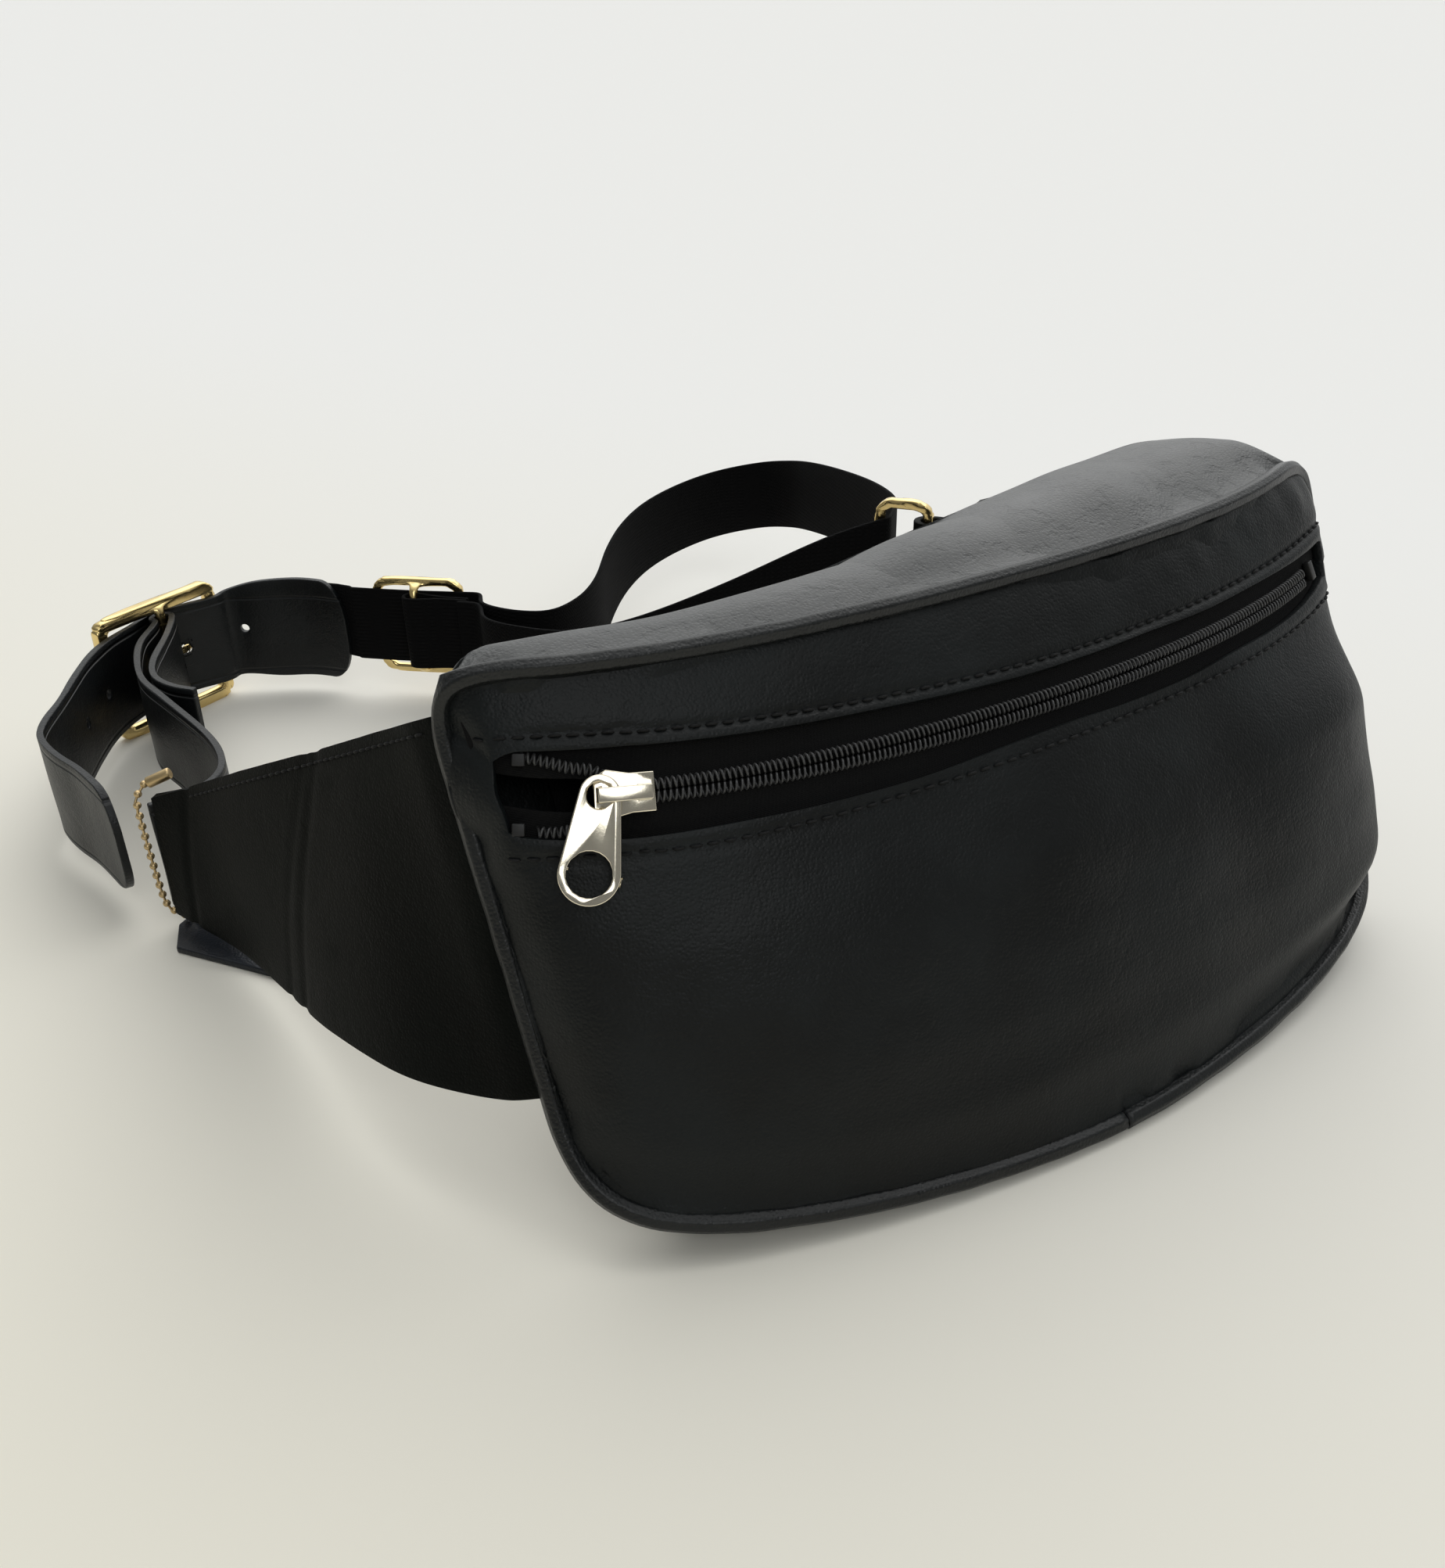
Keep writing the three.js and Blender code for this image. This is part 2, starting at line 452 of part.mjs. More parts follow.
// A strip folded round an upright bar: two runs side by side and a half turn.
function foldRoute(bar, along, radius, length, top) {
  const side = v3(-along.y, along.x, 0);
  const at = (across, distance) => {
    const p = bar.clone().addScaledVector(side, across).addScaledVector(along, distance);
    return [p.x, p.y, top];
  };
  const turned = (i, t) => at(-radius * Math.cos(Math.PI * t), -radius * Math.sin(Math.PI * t));
  return [at(-radius, length), at(-radius, length / 2), ...range(7, turned), at(radius, length / 2), at(radius, length)];
}
const TAB_HEIGHT = 32;
const tabBar = RING_AT.clone().addScaledVector(beltOut, -(RING_WIDTH - RING_WIRE) / 2);
const tabTurn = wrapRadius(RING_WIRE, STRAP_THICKNESS);
const tabRoute = foldRoute(tabBar, beltOut.clone().negate(), tabTurn, 11, RING_AT.z + TAB_HEIGHT / 2);
add('ring_tab', strip(tabRoute, 26, TAB_HEIGHT, STRAP_THICKNESS), blackLeather);

// A flat rectangular frame with a bar set back across its middle, in its own axes: x along the belt,
// y up and z towards the wearer.
function barFrame(width, height, rim, thickness, barWidth, setback, corner) {
  const shape = roundedRectangle(new THREE.Shape(), width, height, corner);
  shape.holes.push(roundedRectangle(new THREE.Path(), width - 2 * rim, height - 2 * rim, corner - rim + 1));
  const barDepth = setback + thickness / 2 + barWidth / 2;
  const ends = new THREE.BoxGeometry(barWidth, height - rim, barDepth)
    .translate(0, 0, barDepth / 2 - thickness / 2);
  const clear = new THREE.BoxGeometry(2 * barWidth, height - 2 * rim, setback - barWidth / 2 + thickness)
    .translate(0, 0, (setback - barWidth / 2 + thickness) / 2 - thickness);
  return geometryOf(solid(plate(shape, thickness)).add(solid(ends).subtract(solid(clear))));
}

// Tri-glide on the webbing.
const GLIDE_AT = v3(-61, 331.5, 32);
const glideAlong = v3(-0.78, 0.626, 0).normalize();        // towards the holed strap
const webbingDepth = GLIDE_BAR / 2 + GAP + WEBBING_THICKNESS / 2;
const loopTurn = wrapRadius(GLIDE_BAR, WEBBING_THICKNESS);
const glideSetback = webbingDepth + WEBBING_THICKNESS + GAP + loopTurn;
const inwards = (along) => v3(-along.y, along.x, 0);
const frameAt = (along, at) =>
  new THREE.Matrix4().makeBasis(along.clone().negate(), v3(0, 0, 1), inwards(along)).setPosition(at);
add('tri_glide', barFrame(GLIDE_WIDTH, GLIDE_HEIGHT, GLIDE_BAR, GLIDE_BAR, GLIDE_BAR, glideSetback, 7)
  .applyMatrix4(frameAt(glideAlong, GLIDE_AT)), brass);

// Webbing: one length, from the holed strap through the tri-glide, round the ring and back again.
const beside = (origin, along, distance, depth) =>
  origin.clone().addScaledVector(along, distance).addScaledVector(inwards(along), depth);
const glidePoint = (distance, depth, top) => {
  const p = beside(GLIDE_AT, glideAlong, distance, depth);
  return [p.x, p.y, top];
};
const ringBar = RING_AT.clone().addScaledVector(beltOut, (RING_WIDTH - RING_WIRE) / 2);
const ringTurn = wrapRadius(RING_WIRE, WEBBING_THICKNESS);
const RING_TOP = RING_AT.z + WEBBING_HEIGHT / 2;
const aroundRing = range(5, (i, t) => {
  const a = THREE.MathUtils.degToRad(lerp(-50, -107, t));
  return [ringBar.x + ringTurn * Math.cos(a), ringBar.y + ringTurn * Math.sin(a), RING_TOP];
});
const SLIDE_ROOM = 32;          // straight webbing left of the tri-glide
const webbingRoute = [
  glidePoint(SLIDE_ROOM, webbingDepth, 49), glidePoint(SLIDE_ROOM / 2, webbingDepth, 48.6),
  glidePoint(0, webbingDepth, 48.4), glidePoint(-GLIDE_WIDTH / 2, webbingDepth, 48.5),
  glidePoint(-GLIDE_WIDTH / 2 - 8, webbingDepth + 1, 48.8),
  [-46, 299, 50], [-38, 281, 51], [-27, 273, 51.5], [-13, 277, 52.5], [0, 288, 54], [16, 310, 56],
  [34, 331, 57.5], [54, 347, 59], [77, 357, 60.5], [99, 359, 62.5], [117, 349, 66], [122, 331, 70.5], [119, 308, 76],
  [114, 276, 81.5], [107, 243, 86], [97, 217, 88.5],
  ...aroundRing,
  [60, 208, 84], [20, 219, 70], [-12, 230, 60], [-30, 243, 54.5], [-42.5, 263, 51.5], [-51, 284, 50],
  glidePoint(-GLIDE_WIDTH / 2 - 11, 14.5, 49), glidePoint(-GLIDE_WIDTH / 2 - 1, 12.6, 48.6),
];
add('webbing', strip(webbingRoute, 96, WEBBING_HEIGHT, WEBBING_THICKNESS), blackWebbing);

// The webbing's sewn end, a short loop round the tri-glide's bar.
const glideBarAt = beside(GLIDE_AT, glideAlong, 0, glideSetback);
const loopPoint = (distance, depth) => {
  const p = beside(glideBarAt, glideAlong, distance, depth);
  return [p.x, p.y, 48.4];
};
add('webbing_loop', strip([
  loopPoint(-24, 0.4), loopPoint(-12, -0.3), loopPoint(-5, -2.2),
  ...range(7, (i, t) => loopPoint(loopTurn * Math.sin(Math.PI * t), -loopTurn * Math.cos(Math.PI * t))),
  loopPoint(-6, 3), loopPoint(-12, 2), loopPoint(-24, 2.4),
], 30, WEBBING_HEIGHT - 1, WEBBING_THICKNESS), blackWebbing);

// ---- buckle ------------------------------------------------------------------------------------
const BUCKLE_AT = v3(-159, 370, BUCKLE_HEIGHT / 2);
const buckleAlong = v3(-0.905, -0.426, 0).normalize();     // towards the strap's tail
const BUCKLE_SETBACK = 4;
const SIDE_PLAY = 1.4;
const BUCKLE_CORNER = 6;
add('buckle_frame', barFrame(
  BUCKLE_WIDTH, BUCKLE_HEIGHT, BUCKLE_RIM, BUCKLE_BAR, BUCKLE_PIN, BUCKLE_SETBACK, BUCKLE_CORNER)
  .applyMatrix4(frameAt(buckleAlong, BUCKLE_AT)), brass);
const bucklePoint = (distance, depth) => beside(BUCKLE_AT, buckleAlong, distance, depth);
const bucklePlan = (distance, depth, top) => {
  const p = bucklePoint(distance, depth);
  return [p.x, p.y, top];
};
const STRAP_TOP = 46;
const barTurn = wrapRadius(BUCKLE_PIN, STRAP_THICKNESS);
const strapOver = BUCKLE_SETBACK - barTurn - STRAP_THICKNESS - GAP;
const strapUnder = BUCKLE_BAR / 2 + SIDE_PLAY + STRAP_THICKNESS / 2;
const barSide = (BUCKLE_WIDTH - BUCKLE_RIM) / 2;

// Prong: an eye round the bar and a tongue through a hole, its tip on the frame's far side.
const barAt = bucklePoint(0, BUCKLE_SETBACK);
const prongMid = STRAP_TOP - STRAP_HEIGHT / 2;
const EYE_INNER = BUCKLE_PIN * Math.SQRT1_2 + GAP;
const EYE_OUTER = EYE_INNER + 1.5;
const eyeShape = new THREE.Shape();
eyeShape.absarc(0, 0, EYE_OUTER, 0, 2 * Math.PI, false);
const eyeHole = new THREE.Path();
eyeHole.absarc(0, 0, EYE_INNER, 0, 2 * Math.PI, true);
eyeShape.holes.push(eyeHole);
const eye = plate(eyeShape, 2 * PRONG_RADIUS, 10).translate(barAt.x, barAt.y, prongMid);
const prongOut = -(BUCKLE_BAR / 2 + GAP + PRONG_RADIUS);
const prongRoute = [
  [-EYE_INNER - 0.7, BUCKLE_SETBACK - 0.5], [-8, 1.2], [-15, -2.2], [-21, prongOut], [-barSide, prongOut],
  [-barSide - 3, prongOut + 0.4],
].map(([distance, depth]) => bucklePoint(distance, depth).setZ(prongMid));
const tongue = tube(new THREE.CatmullRomCurve3(prongRoute), 20, PRONG_RADIUS, 8);
add('buckle_prong', geometryOf(solid(eye).add(solid(tongue))), brass);

// Holed strap: sewn over the webbing's end, through the buckle, its tail curling back.
const paddleStart = glidePoint(SLIDE_ROOM + GAP, webbingDepth, 50.5);
const holedRoute = [
  paddleStart, [-98, 361, 51], [-107, 367.5, 51], [-119, 373.5, 50],
  bucklePlan(-barSide - 5, strapUnder + 0.4, 47),
  bucklePlan(-barSide, strapUnder, STRAP_TOP), bucklePlan(-barSide / 2, (strapUnder + strapOver) / 2, STRAP_TOP),
  bucklePlan(0, strapOver, STRAP_TOP), bucklePlan(barSide / 2, (strapUnder + strapOver) / 2, STRAP_TOP),
  bucklePlan(barSide, strapUnder, STRAP_TOP),
  [-190, 341, 46], [-197.5, 325.5, 46], [-205, 308, 46], [-211.5, 295, 46],
  [-215, 285, 46], [-215, 276, 46], [-212.5, 264, 46], [-208.5, 252, 46], [-205.5, 238, 46], [-204, 229, 46],
  [-203.4, 221, 46],
];
const PADDLE_SHARE = 0.11;      // how much of the route the wide end takes
const holedHeight = (share) =>
  lerp(PADDLE_HEIGHT, STRAP_HEIGHT, THREE.MathUtils.smoothstep(share, PADDLE_SHARE, PADDLE_SHARE + 0.1));
const holedCurve = routeCurve(holedRoute);
const PRONG_PLAY = 1.1;         // the prong's hole is pulled long
const prongShare = range(201, (i, t) => t * 0.5).reduce((best, share) => {
  const away = (t) => holedCurve.getPointAt(t).setZ(0).distanceTo(bucklePoint(-barSide / 2, 0).setZ(0));
  return away(share) < away(best) ? share : best;
}, 0);
const prongHole = solid(tube(new THREE.CatmullRomCurve3(prongRoute), 20, PRONG_RADIUS + PRONG_PLAY, 8));
const holeAt = (share) => {
  const along = holedCurve.getTangentAt(share).setZ(0).normalize();
  const at = holedCurve.getPointAt(share).add(v3(0, 0, -STRAP_HEIGHT / 2));
  const drill = new THREE.CylinderGeometry(HOLE_RADIUS, HOLE_RADIUS, 6 * STRAP_THICKNESS, 12);
  return solid(drill.rotateX(Math.PI / 2).applyMatrix4(uprightFrame(along, at)));
};
const holedLength = holedCurve.getLength();
const HOLE_STEPS = [-1, 1, 2, 3];
const holed = HOLE_STEPS.map((step) => prongShare + (step * HOLE_PITCH) / holedLength)
  .reduce((strap, share) => strap.subtract(holeAt(share)), solid(strip(holedRoute, 56, holedHeight, STRAP_THICKNESS)))
  .subtract(prongHole);
add('holed_strap', geometryOf(holed), blackLeather);

// Buckle strap: from the wing's end, doubling back to the buckle's bar and round it.
const aroundBar = range(7, (i, t) => {
  const a = lerp(-0.35, Math.PI + 0.35, t);
  const p = beside(barAt, buckleAlong, barTurn * Math.cos(a), -barTurn * Math.sin(a));
  return [p.x, p.y, STRAP_TOP];
});
const buckleRoute = [
  [-193.5, 212.6, 46], [-187, 212.8, 46], [-180, 214, 46], [-172.5, 218.5, 46], [-167.5, 226, 46], [-165.5, 237, 46],
  [-166, 252, 46], [-169, 270, 46], [-173, 291, 46], [-176, 308, 46], [-175, 325, 46], [-169.5, 347, 46],
  ...aroundBar,
  [-158.5, 350, 46], [-164.5, 336, 46], [-170.2, 322, 46], [-171.6, 309, 46], [-167.5, 297, 46], [-161.5, 290, 46],
];
const PRONG_SLOT = 5.4;
const slotCut = new THREE.BoxGeometry(3 * barTurn, PRONG_SLOT, 3 * barTurn)
  .applyMatrix4(frameAt(buckleAlong, v3(barAt.x, barAt.y, STRAP_TOP - STRAP_HEIGHT / 2)));
add('buckle_strap', geometryOf(solid(strip(buckleRoute, 56, STRAP_HEIGHT, STRAP_THICKNESS)).subtract(solid(slotCut))),
  blackLeather);

// ---- ball chain and hang tag -------------------------------------------------------------------
// A closed sweep of rings whose radius changes along the curve.
function beaded(curve, pitch, bead, link, sides) {
  const length = curve.getLength();
  const beads = Math.floor(length / pitch);
  const profile = [[0, link], [0.5 * pitch - bead * 0.97, link], [0.5 * pitch - bead * 0.6, bead * 0.8],
    [0.5 * pitch, bead], [0.5 * pitch + bead * 0.6, bead * 0.8], [0.5 * pitch + bead * 0.97, link]];
  const rings = range(beads, (i) => profile.map(([d, r]) => [i * pitch + d, r])).flat();
  rings.push([beads * pitch, link]);
  const points = [];
  const index = [];
  for (const [distance, radius] of rings) {
    const share = Math.min(distance / length, 1);
    const at = curve.getPointAt(share);
    const along = curve.getTangentAt(share);
    const side = along.clone().cross(v3(1, 0, 0.001)).normalize();
    const up = side.clone().cross(along);
    for (let k = 0; k < sides; k++) {
      const a = (2 * Math.PI * k) / sides;
      points.push(at.clone().addScaledVector(side, radius * Math.cos(a)).addScaledVector(up, radius * Math.sin(a)));
    }
  }
  for (let i = 0; i + 1 < rings.length; i++) {
    for (let k = 0; k < sides; k++) {
      const [a, b] = [i * sides + k, i * sides + ((k + 1) % sides)];
      index.push(a, a + sides, b, b, a + sides, b + sides);
    }
  }
  const last = (rings.length - 1) * sides;
  for (let k = 1; k + 1 < sides; k++) index.push(0, k, k + 1, last, last + k + 1, last + k);
  const geometry = new THREE.BufferGeometry();
  geometry.setAttribute('position', new THREE.Float32BufferAttribute(points.flatMap((p) => p.toArray()), 3));
  geometry.setIndex(index);
  return geometry;
}
const TAG_AT = v3(-181.5, 207.5, TAG_THICKNESS / 2);       // its hole
const chainRoute = [[-192.6, 214.8, 52.6], [-195.9, 212.8, 49.5], [-196.6, 212, 43], [-196.6, 211.8, 36], [-196.5, 211.8, 30],
  [-196.3, 211.8, 23], [-196, 211.8, 16], [-195.2, 211.8, 9.5], [-191.5, 211, 4.6], [-186.5, 209.2, 4.2],
  [-182.6, 207.9, 3.4], [-181.5, 207.5, 1.4]].map((p) => v3(...p));
add('ball_chain', beaded(new THREE.CatmullRomCurve3(chainRoute), CHAIN_PITCH, CHAIN_BEAD, 0.45, 5), agedBrass);
const CONNECTOR_LENGTH = 8;
const CONNECTOR_RADIUS = 1.9;
const connectorAlong = v3(0.86, -0.34, 0.36).normalize();
add('chain_connector', new THREE.CylinderGeometry(CONNECTOR_RADIUS, CONNECTOR_RADIUS, CONNECTOR_LENGTH, 12)
  .applyQuaternion(new THREE.Quaternion().setFromUnitVectors(v3(0, 1, 0), connectorAlong))
  .translate(-188.3, 213.6, 53.6), agedBrass);

const tagShape = new THREE.Shape();
const TAG_END = 9;               // from the hole to the tag's narrow end
tagShape.moveTo(-TAG_END, -TAG_WIDTH * 0.22);
tagShape.lineTo(-TAG_END + 8, -TAG_WIDTH / 2);
tagShape.lineTo(TAG_LENGTH - TAG_END, -TAG_WIDTH / 2);
tagShape.lineTo(TAG_LENGTH - TAG_END, TAG_WIDTH / 2);
tagShape.lineTo(-TAG_END + 8, TAG_WIDTH / 2);
tagShape.lineTo(-TAG_END, TAG_WIDTH * 0.22);
const tagHole = new THREE.Path();
tagHole.absarc(0, 0, 2.2, 0, 2 * Math.PI, true);
tagShape.holes.push(tagHole);
const TAG_HEADING = THREE.MathUtils.degToRad(-52.6);
add('hang_tag', plate(tagShape, TAG_THICKNESS, 8).rotateZ(TAG_HEADING).translate(TAG_AT.x, TAG_AT.y, TAG_AT.z),
  blackLeather);

export default pack;
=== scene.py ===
# Black leather waist pack, fastened, standing on its base and leaning back on its belt.
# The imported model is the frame: every piece is made where its solid lies, in metres.
import json
import math

import bmesh
import bpy
import numpy as np
from mathutils import Matrix, Vector, noise
from mathutils.bvhtree import BVHTree
from mathutils.kdtree import KDTree

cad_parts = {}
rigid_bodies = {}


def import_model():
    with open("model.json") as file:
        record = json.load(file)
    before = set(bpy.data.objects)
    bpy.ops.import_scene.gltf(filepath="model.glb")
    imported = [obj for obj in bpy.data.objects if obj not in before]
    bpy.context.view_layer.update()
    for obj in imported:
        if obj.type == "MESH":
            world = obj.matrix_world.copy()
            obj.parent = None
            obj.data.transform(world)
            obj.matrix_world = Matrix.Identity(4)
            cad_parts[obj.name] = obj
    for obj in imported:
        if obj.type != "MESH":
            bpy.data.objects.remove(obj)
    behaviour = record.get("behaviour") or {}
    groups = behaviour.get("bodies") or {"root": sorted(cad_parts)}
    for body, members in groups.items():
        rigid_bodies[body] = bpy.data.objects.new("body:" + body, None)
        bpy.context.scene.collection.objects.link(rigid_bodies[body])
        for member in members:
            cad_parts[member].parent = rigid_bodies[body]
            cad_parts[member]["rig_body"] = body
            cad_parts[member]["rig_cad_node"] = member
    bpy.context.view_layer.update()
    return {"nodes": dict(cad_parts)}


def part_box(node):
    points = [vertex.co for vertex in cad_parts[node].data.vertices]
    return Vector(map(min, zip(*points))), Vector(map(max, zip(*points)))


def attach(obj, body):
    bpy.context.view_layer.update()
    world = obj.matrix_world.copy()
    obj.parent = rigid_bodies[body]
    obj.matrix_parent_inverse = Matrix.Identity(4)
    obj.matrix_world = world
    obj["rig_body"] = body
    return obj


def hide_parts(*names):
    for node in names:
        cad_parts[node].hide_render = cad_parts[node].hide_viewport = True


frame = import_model()

# ---- camera ------------------------------------------------------------------------------------
# A hand-held view from the left and above, turned a little clockwise.
VIEW_FROM = Vector((-0.2307, -0.2126, 0.2701))
YAW, PITCH, ROLL = (math.radians(a) for a in (29.9, 29.8, 1.4))
ahead = Vector((math.sin(YAW) * math.cos(PITCH), math.cos(YAW) * math.cos(PITCH), -math.sin(PITCH)))
level = Vector((math.cos(YAW), -math.sin(YAW), 0))
down = ahead.cross(level)
right = math.cos(ROLL) * level + math.sin(ROLL) * down
low = math.cos(ROLL) * down - math.sin(ROLL) * level
bpy.ops.object.camera_add(location=VIEW_FROM)
camera = bpy.context.object
camera.matrix_world = Matrix.Translation(VIEW_FROM) @ Matrix((right, -low, -ahead)).transposed().to_4x4()
camera.data.sensor_fit = "VERTICAL"
camera.data.sensor_height = 36
camera.data.lens = 32.88
camera.data.clip_start = 0.01
bpy.context.scene.camera = camera

# ---- front panel -------------------------------------------------------------------------------
# One piece of glazed cowhide, slotted for the zip and turned into the seam behind the piping.
# It is soft enough to bulge and to keep shallow dents.


class Wire:
    """A socket of a material, with arithmetic that adds Math nodes."""

    def __init__(self, tree, socket):
        self.tree, self.socket = tree, socket

    def node(self, kind, settings=None, output=0, **values):
        made = self.tree.nodes.new(kind)
        for key, value in (settings or {}).items():
            if key == "stops":
                ramp = made.color_ramp.elements
                for stop, (place, color) in zip(range(len(value)), value):
                    element = ramp[stop] if stop < 2 else ramp.new(place)
                    element.position, element.color = place, color
            else:
                setattr(made, key, value)
        for key, value in values.items():
            socket = made.inputs[int(key[1:])] if key[1:].isdigit() else made.inputs[key.replace("_", " ")]
            if isinstance(value, Wire):
                self.tree.links.new(value.socket, socket)
            else:
                socket.default_value = value
        return Wire(self.tree, made.outputs[output])

    def math(self, operation, *others):
        return self.node("ShaderNodeMath", {"operation": operation},
                         **{f"i{i}": v for i, v in enumerate((self, *others))})

    def __add__(self, other):
        return self.math("ADD", other)

    def __radd__(self, other):
        return self.math("ADD", other)

    def __sub__(self, other):
        return self.math("SUBTRACT", other)

    def __rsub__(self, other):
        return (self * -1).math("ADD", other)

    def __mul__(self, other):
        return self.math("MULTIPLY", other)

    def __rmul__(self, other):
        return self.math("MULTIPLY", other)

    def step(self, start, end):
        return self.node("ShaderNodeMapRange", {"interpolation_type": "SMOOTHSTEP"},
                         Value=self, From_Min=start, From_Max=end)

    def blend(self, dark, light):
        return self.node("ShaderNodeMix", {"data_type": "RGBA"}, output=2, Factor=self, i6=dark, i7=light)

    def noise(self, scale, detail=3, rough=0.55, stretch=(1, 1, 1)):
        spread = self.node("ShaderNodeVectorMath", {"operation": "MULTIPLY"}, i0=self, i1=stretch)
        return spread.node("ShaderNodeTexNoise", Vector=spread, Scale=scale, Detail=detail, Roughness=rough)

    def cells(self, scale, feature="F1"):
        return self.node("ShaderNodeTexVoronoi", {"feature": feature}, Vector=self, Scale=scale)

    def axis(self, index):
        return self.node("ShaderNodeSeparateXYZ", output=index, i0=self)


def finish(name):
    """A new material: its place in object coordinates, and its main shader's inputs."""
    made = bpy.data.materials.new(name)
    made.use_nodes = True
    tree = made.node_tree
    place = Wire(tree, tree.nodes.new("ShaderNodeTexCoord").outputs["Object"])
    return made, place, tree.nodes["Principled BSDF"].inputs


def plug(inputs, **values):
    """Sets a shader's inputs: a wire is linked and a value is written on the socket."""
    for key, value in values.items():
        socket = inputs[key.replace("_", " ")]
        if isinstance(value, Wire):
            value.tree.links.new(value.socket, socket)
        else:
            socket.default_value = value


def bump(height, depth, strength=1.0):
    return height.node("ShaderNodeBump", Height=height, Distance=depth, Strength=strength)


def leather(name, dark, light, shine, creases=1.0, gloss=0.3, line_heights=()):
    """Glazed leather: pebble grain, wrinkles, cloudy shine, pale scuffs, and lines at given heights."""
    made, place, inputs = finish(name)
    clouds = place.noise(22, 3)
    grain = place.cells(1150).step(0.0, 0.75)
    pores = place.noise(2600, 2)
    wrinkles = place.noise(150, 5, 0.6)
    wear = place.noise(60, 6, 0.7).step(0.58, 0.8)
    height = grain * 0.4 + pores * 0.25 + wrinkles.step(0.36, 0.5) * 0.35 * creases
    for z in line_heights:
        height = height + (place.axis(2) - z).math("ABSOLUTE").step(0.0002, 0.0009) * 5
    plug(inputs, Base_Color=(clouds.step(0.35, 0.7) * 0.8 + wear * 0.14).blend(dark, light),
         Roughness=clouds * 0.22 + grain * 0.05 + wear * 0.08 + (shine - 0.12),
         Normal=bump(height, 0.00016), Specular_IOR_Level=gloss)
    return made


def soft_copy(node, name, levels=2, crease=1.0):
    """A copy of a node's solid as a smooth piece: merged, in quads, its rims kept, then subdivided."""
    bpy.ops.object.select_all(action="DESELECT")
    solid = frame["nodes"][node]
    solid.select_set(True)
    bpy.context.view_layer.objects.active = solid
    bpy.ops.object.duplicate()
    piece = bpy.context.object
    piece.name = piece.data.name = name
    piece.parent = None
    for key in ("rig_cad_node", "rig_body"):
        del piece[key]
    piece.data.materials.clear()
    bpy.ops.mesh.customdata_custom_splitnormals_clear()
    bpy.ops.object.mode_set(mode="EDIT")
    bpy.ops.mesh.select_all(action="SELECT")
    bpy.ops.mesh.remove_doubles(threshold=2e-6)
    bpy.ops.mesh.tris_convert_to_quads(face_threshold=math.radians(60), shape_threshold=math.radians(100))
    bpy.ops.mesh.select_all(action="DESELECT")
    bpy.ops.object.mode_set(mode="OBJECT")
    shape = bmesh.new()
    shape.from_mesh(piece.data)
    mark = shape.edges.layers.float.new("crease_edge")
    for edge in shape.edges:
        if len(edge.link_faces) == 2 and edge.calc_face_angle() > math.radians(48):
            edge[mark] = crease
    shape.to_mesh(piece.data)
    shape.free()
    if levels:
        finer(piece, levels)
    bpy.ops.object.shade_smooth()
    return piece


def finer(piece, levels):
    only(piece)
    rounder = piece.modifiers.new("finer", "SUBSURF")
    rounder.levels = rounder.render_levels = levels
    bpy.ops.object.modifier_apply(modifier=rounder.name)


def only(piece):
    bpy.ops.object.select_all(action="DESELECT")
    piece.select_set(True)
    bpy.context.view_layer.objects.active = piece


def soft_rim(piece, width, steps=2, angle=40, clamp=False):
    """Rounds a piece's edges, then smooths what is left."""
    only(piece)
    edge = piece.modifiers.new("rim", "BEVEL")
    edge.width, edge.segments, edge.limit_method = width, steps, "ANGLE"
    edge.angle_limit = math.radians(angle)
    edge.use_clamp_overlap = clamp
    bpy.ops.object.modifier_apply(modifier=edge.name)
    bpy.ops.object.shade_smooth_by_angle(angle=math.radians(50))


def tree_of(node):
    solid = frame["nodes"][node].data
    solid.calc_loop_triangles()
    points = [v.co.copy() for v in solid.vertices]
    return BVHTree.FromPolygons(points, [t.vertices for t in solid.loop_triangles])


def rims(shape):
    """The loops of points along a mesh's sharp edges."""
    links = {}
    for edge in shape.edges:
        if len(edge.link_faces) == 2 and edge.calc_face_angle() > math.radians(48):
            for point in edge.verts:
                links.setdefault(point, []).append(edge.other_vert(point))
    loops = []
    while links:
        loop, front = set(), [next(iter(links))]
        while front:
            point = front.pop()
            if point in links:
                loop.add(point)
                front += links.pop(point)
        loops.append(loop)
    return loops


def in_order(points):
    """Points sorted by their number, so that every run treats them alike."""
    return sorted(points, key=lambda point: point.index)


def tallness(loop):
    return max(v.co.z for v in loop) - min(v.co.z for v in loop)


def tuck(piece, seam, reach, depth, pull=0.008, height=0):
    """Runs a piece's rims, if at least so tall, into the seam and draws the leather beside them along."""
    shape = bmesh.new()
    shape.from_mesh(piece.data)
    moves = []
    for point in in_order(v for loop in rims(shape) if tallness(loop) >= height for v in loop):
        spot, normal, _, gap = seam.find_nearest(point.co)
        if gap < reach:
            moves.append((point.co.copy(), spot - normal * depth - point.co))
    rim = KDTree(len(moves))
    for index, (place, _) in enumerate(moves):
        rim.insert(place, index)
    rim.balance()
    for point in shape.verts:
        _, index, far = rim.find(point.co)
        if far < pull:
            point.co += moves[index][1] * (1 - far / pull) ** 2
    shape.to_mesh(piece.data)
    shape.free()


def push(piece, amount):
    """Moves each point of a piece along its normal by amount(place, normal)."""
    moves = [v.normal * amount(v.co, v.normal) for v in piece.data.vertices]
    for vertex, move in zip(piece.data.vertices, moves):
        vertex.co += move
    piece.data.update()


def dents(place, size, seed):
    return noise.noise(place / size + Vector((seed, 0, seed)))


def stow(piece, body, slot, material, *nodes):
    """Gives a piece its material, unless it has one, and its body, and hides the nodes that it stands for."""
    if not piece.data.materials:
        piece.data.materials.append(material)
    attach(piece, body)
    if nodes:
        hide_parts(*nodes)
    return piece


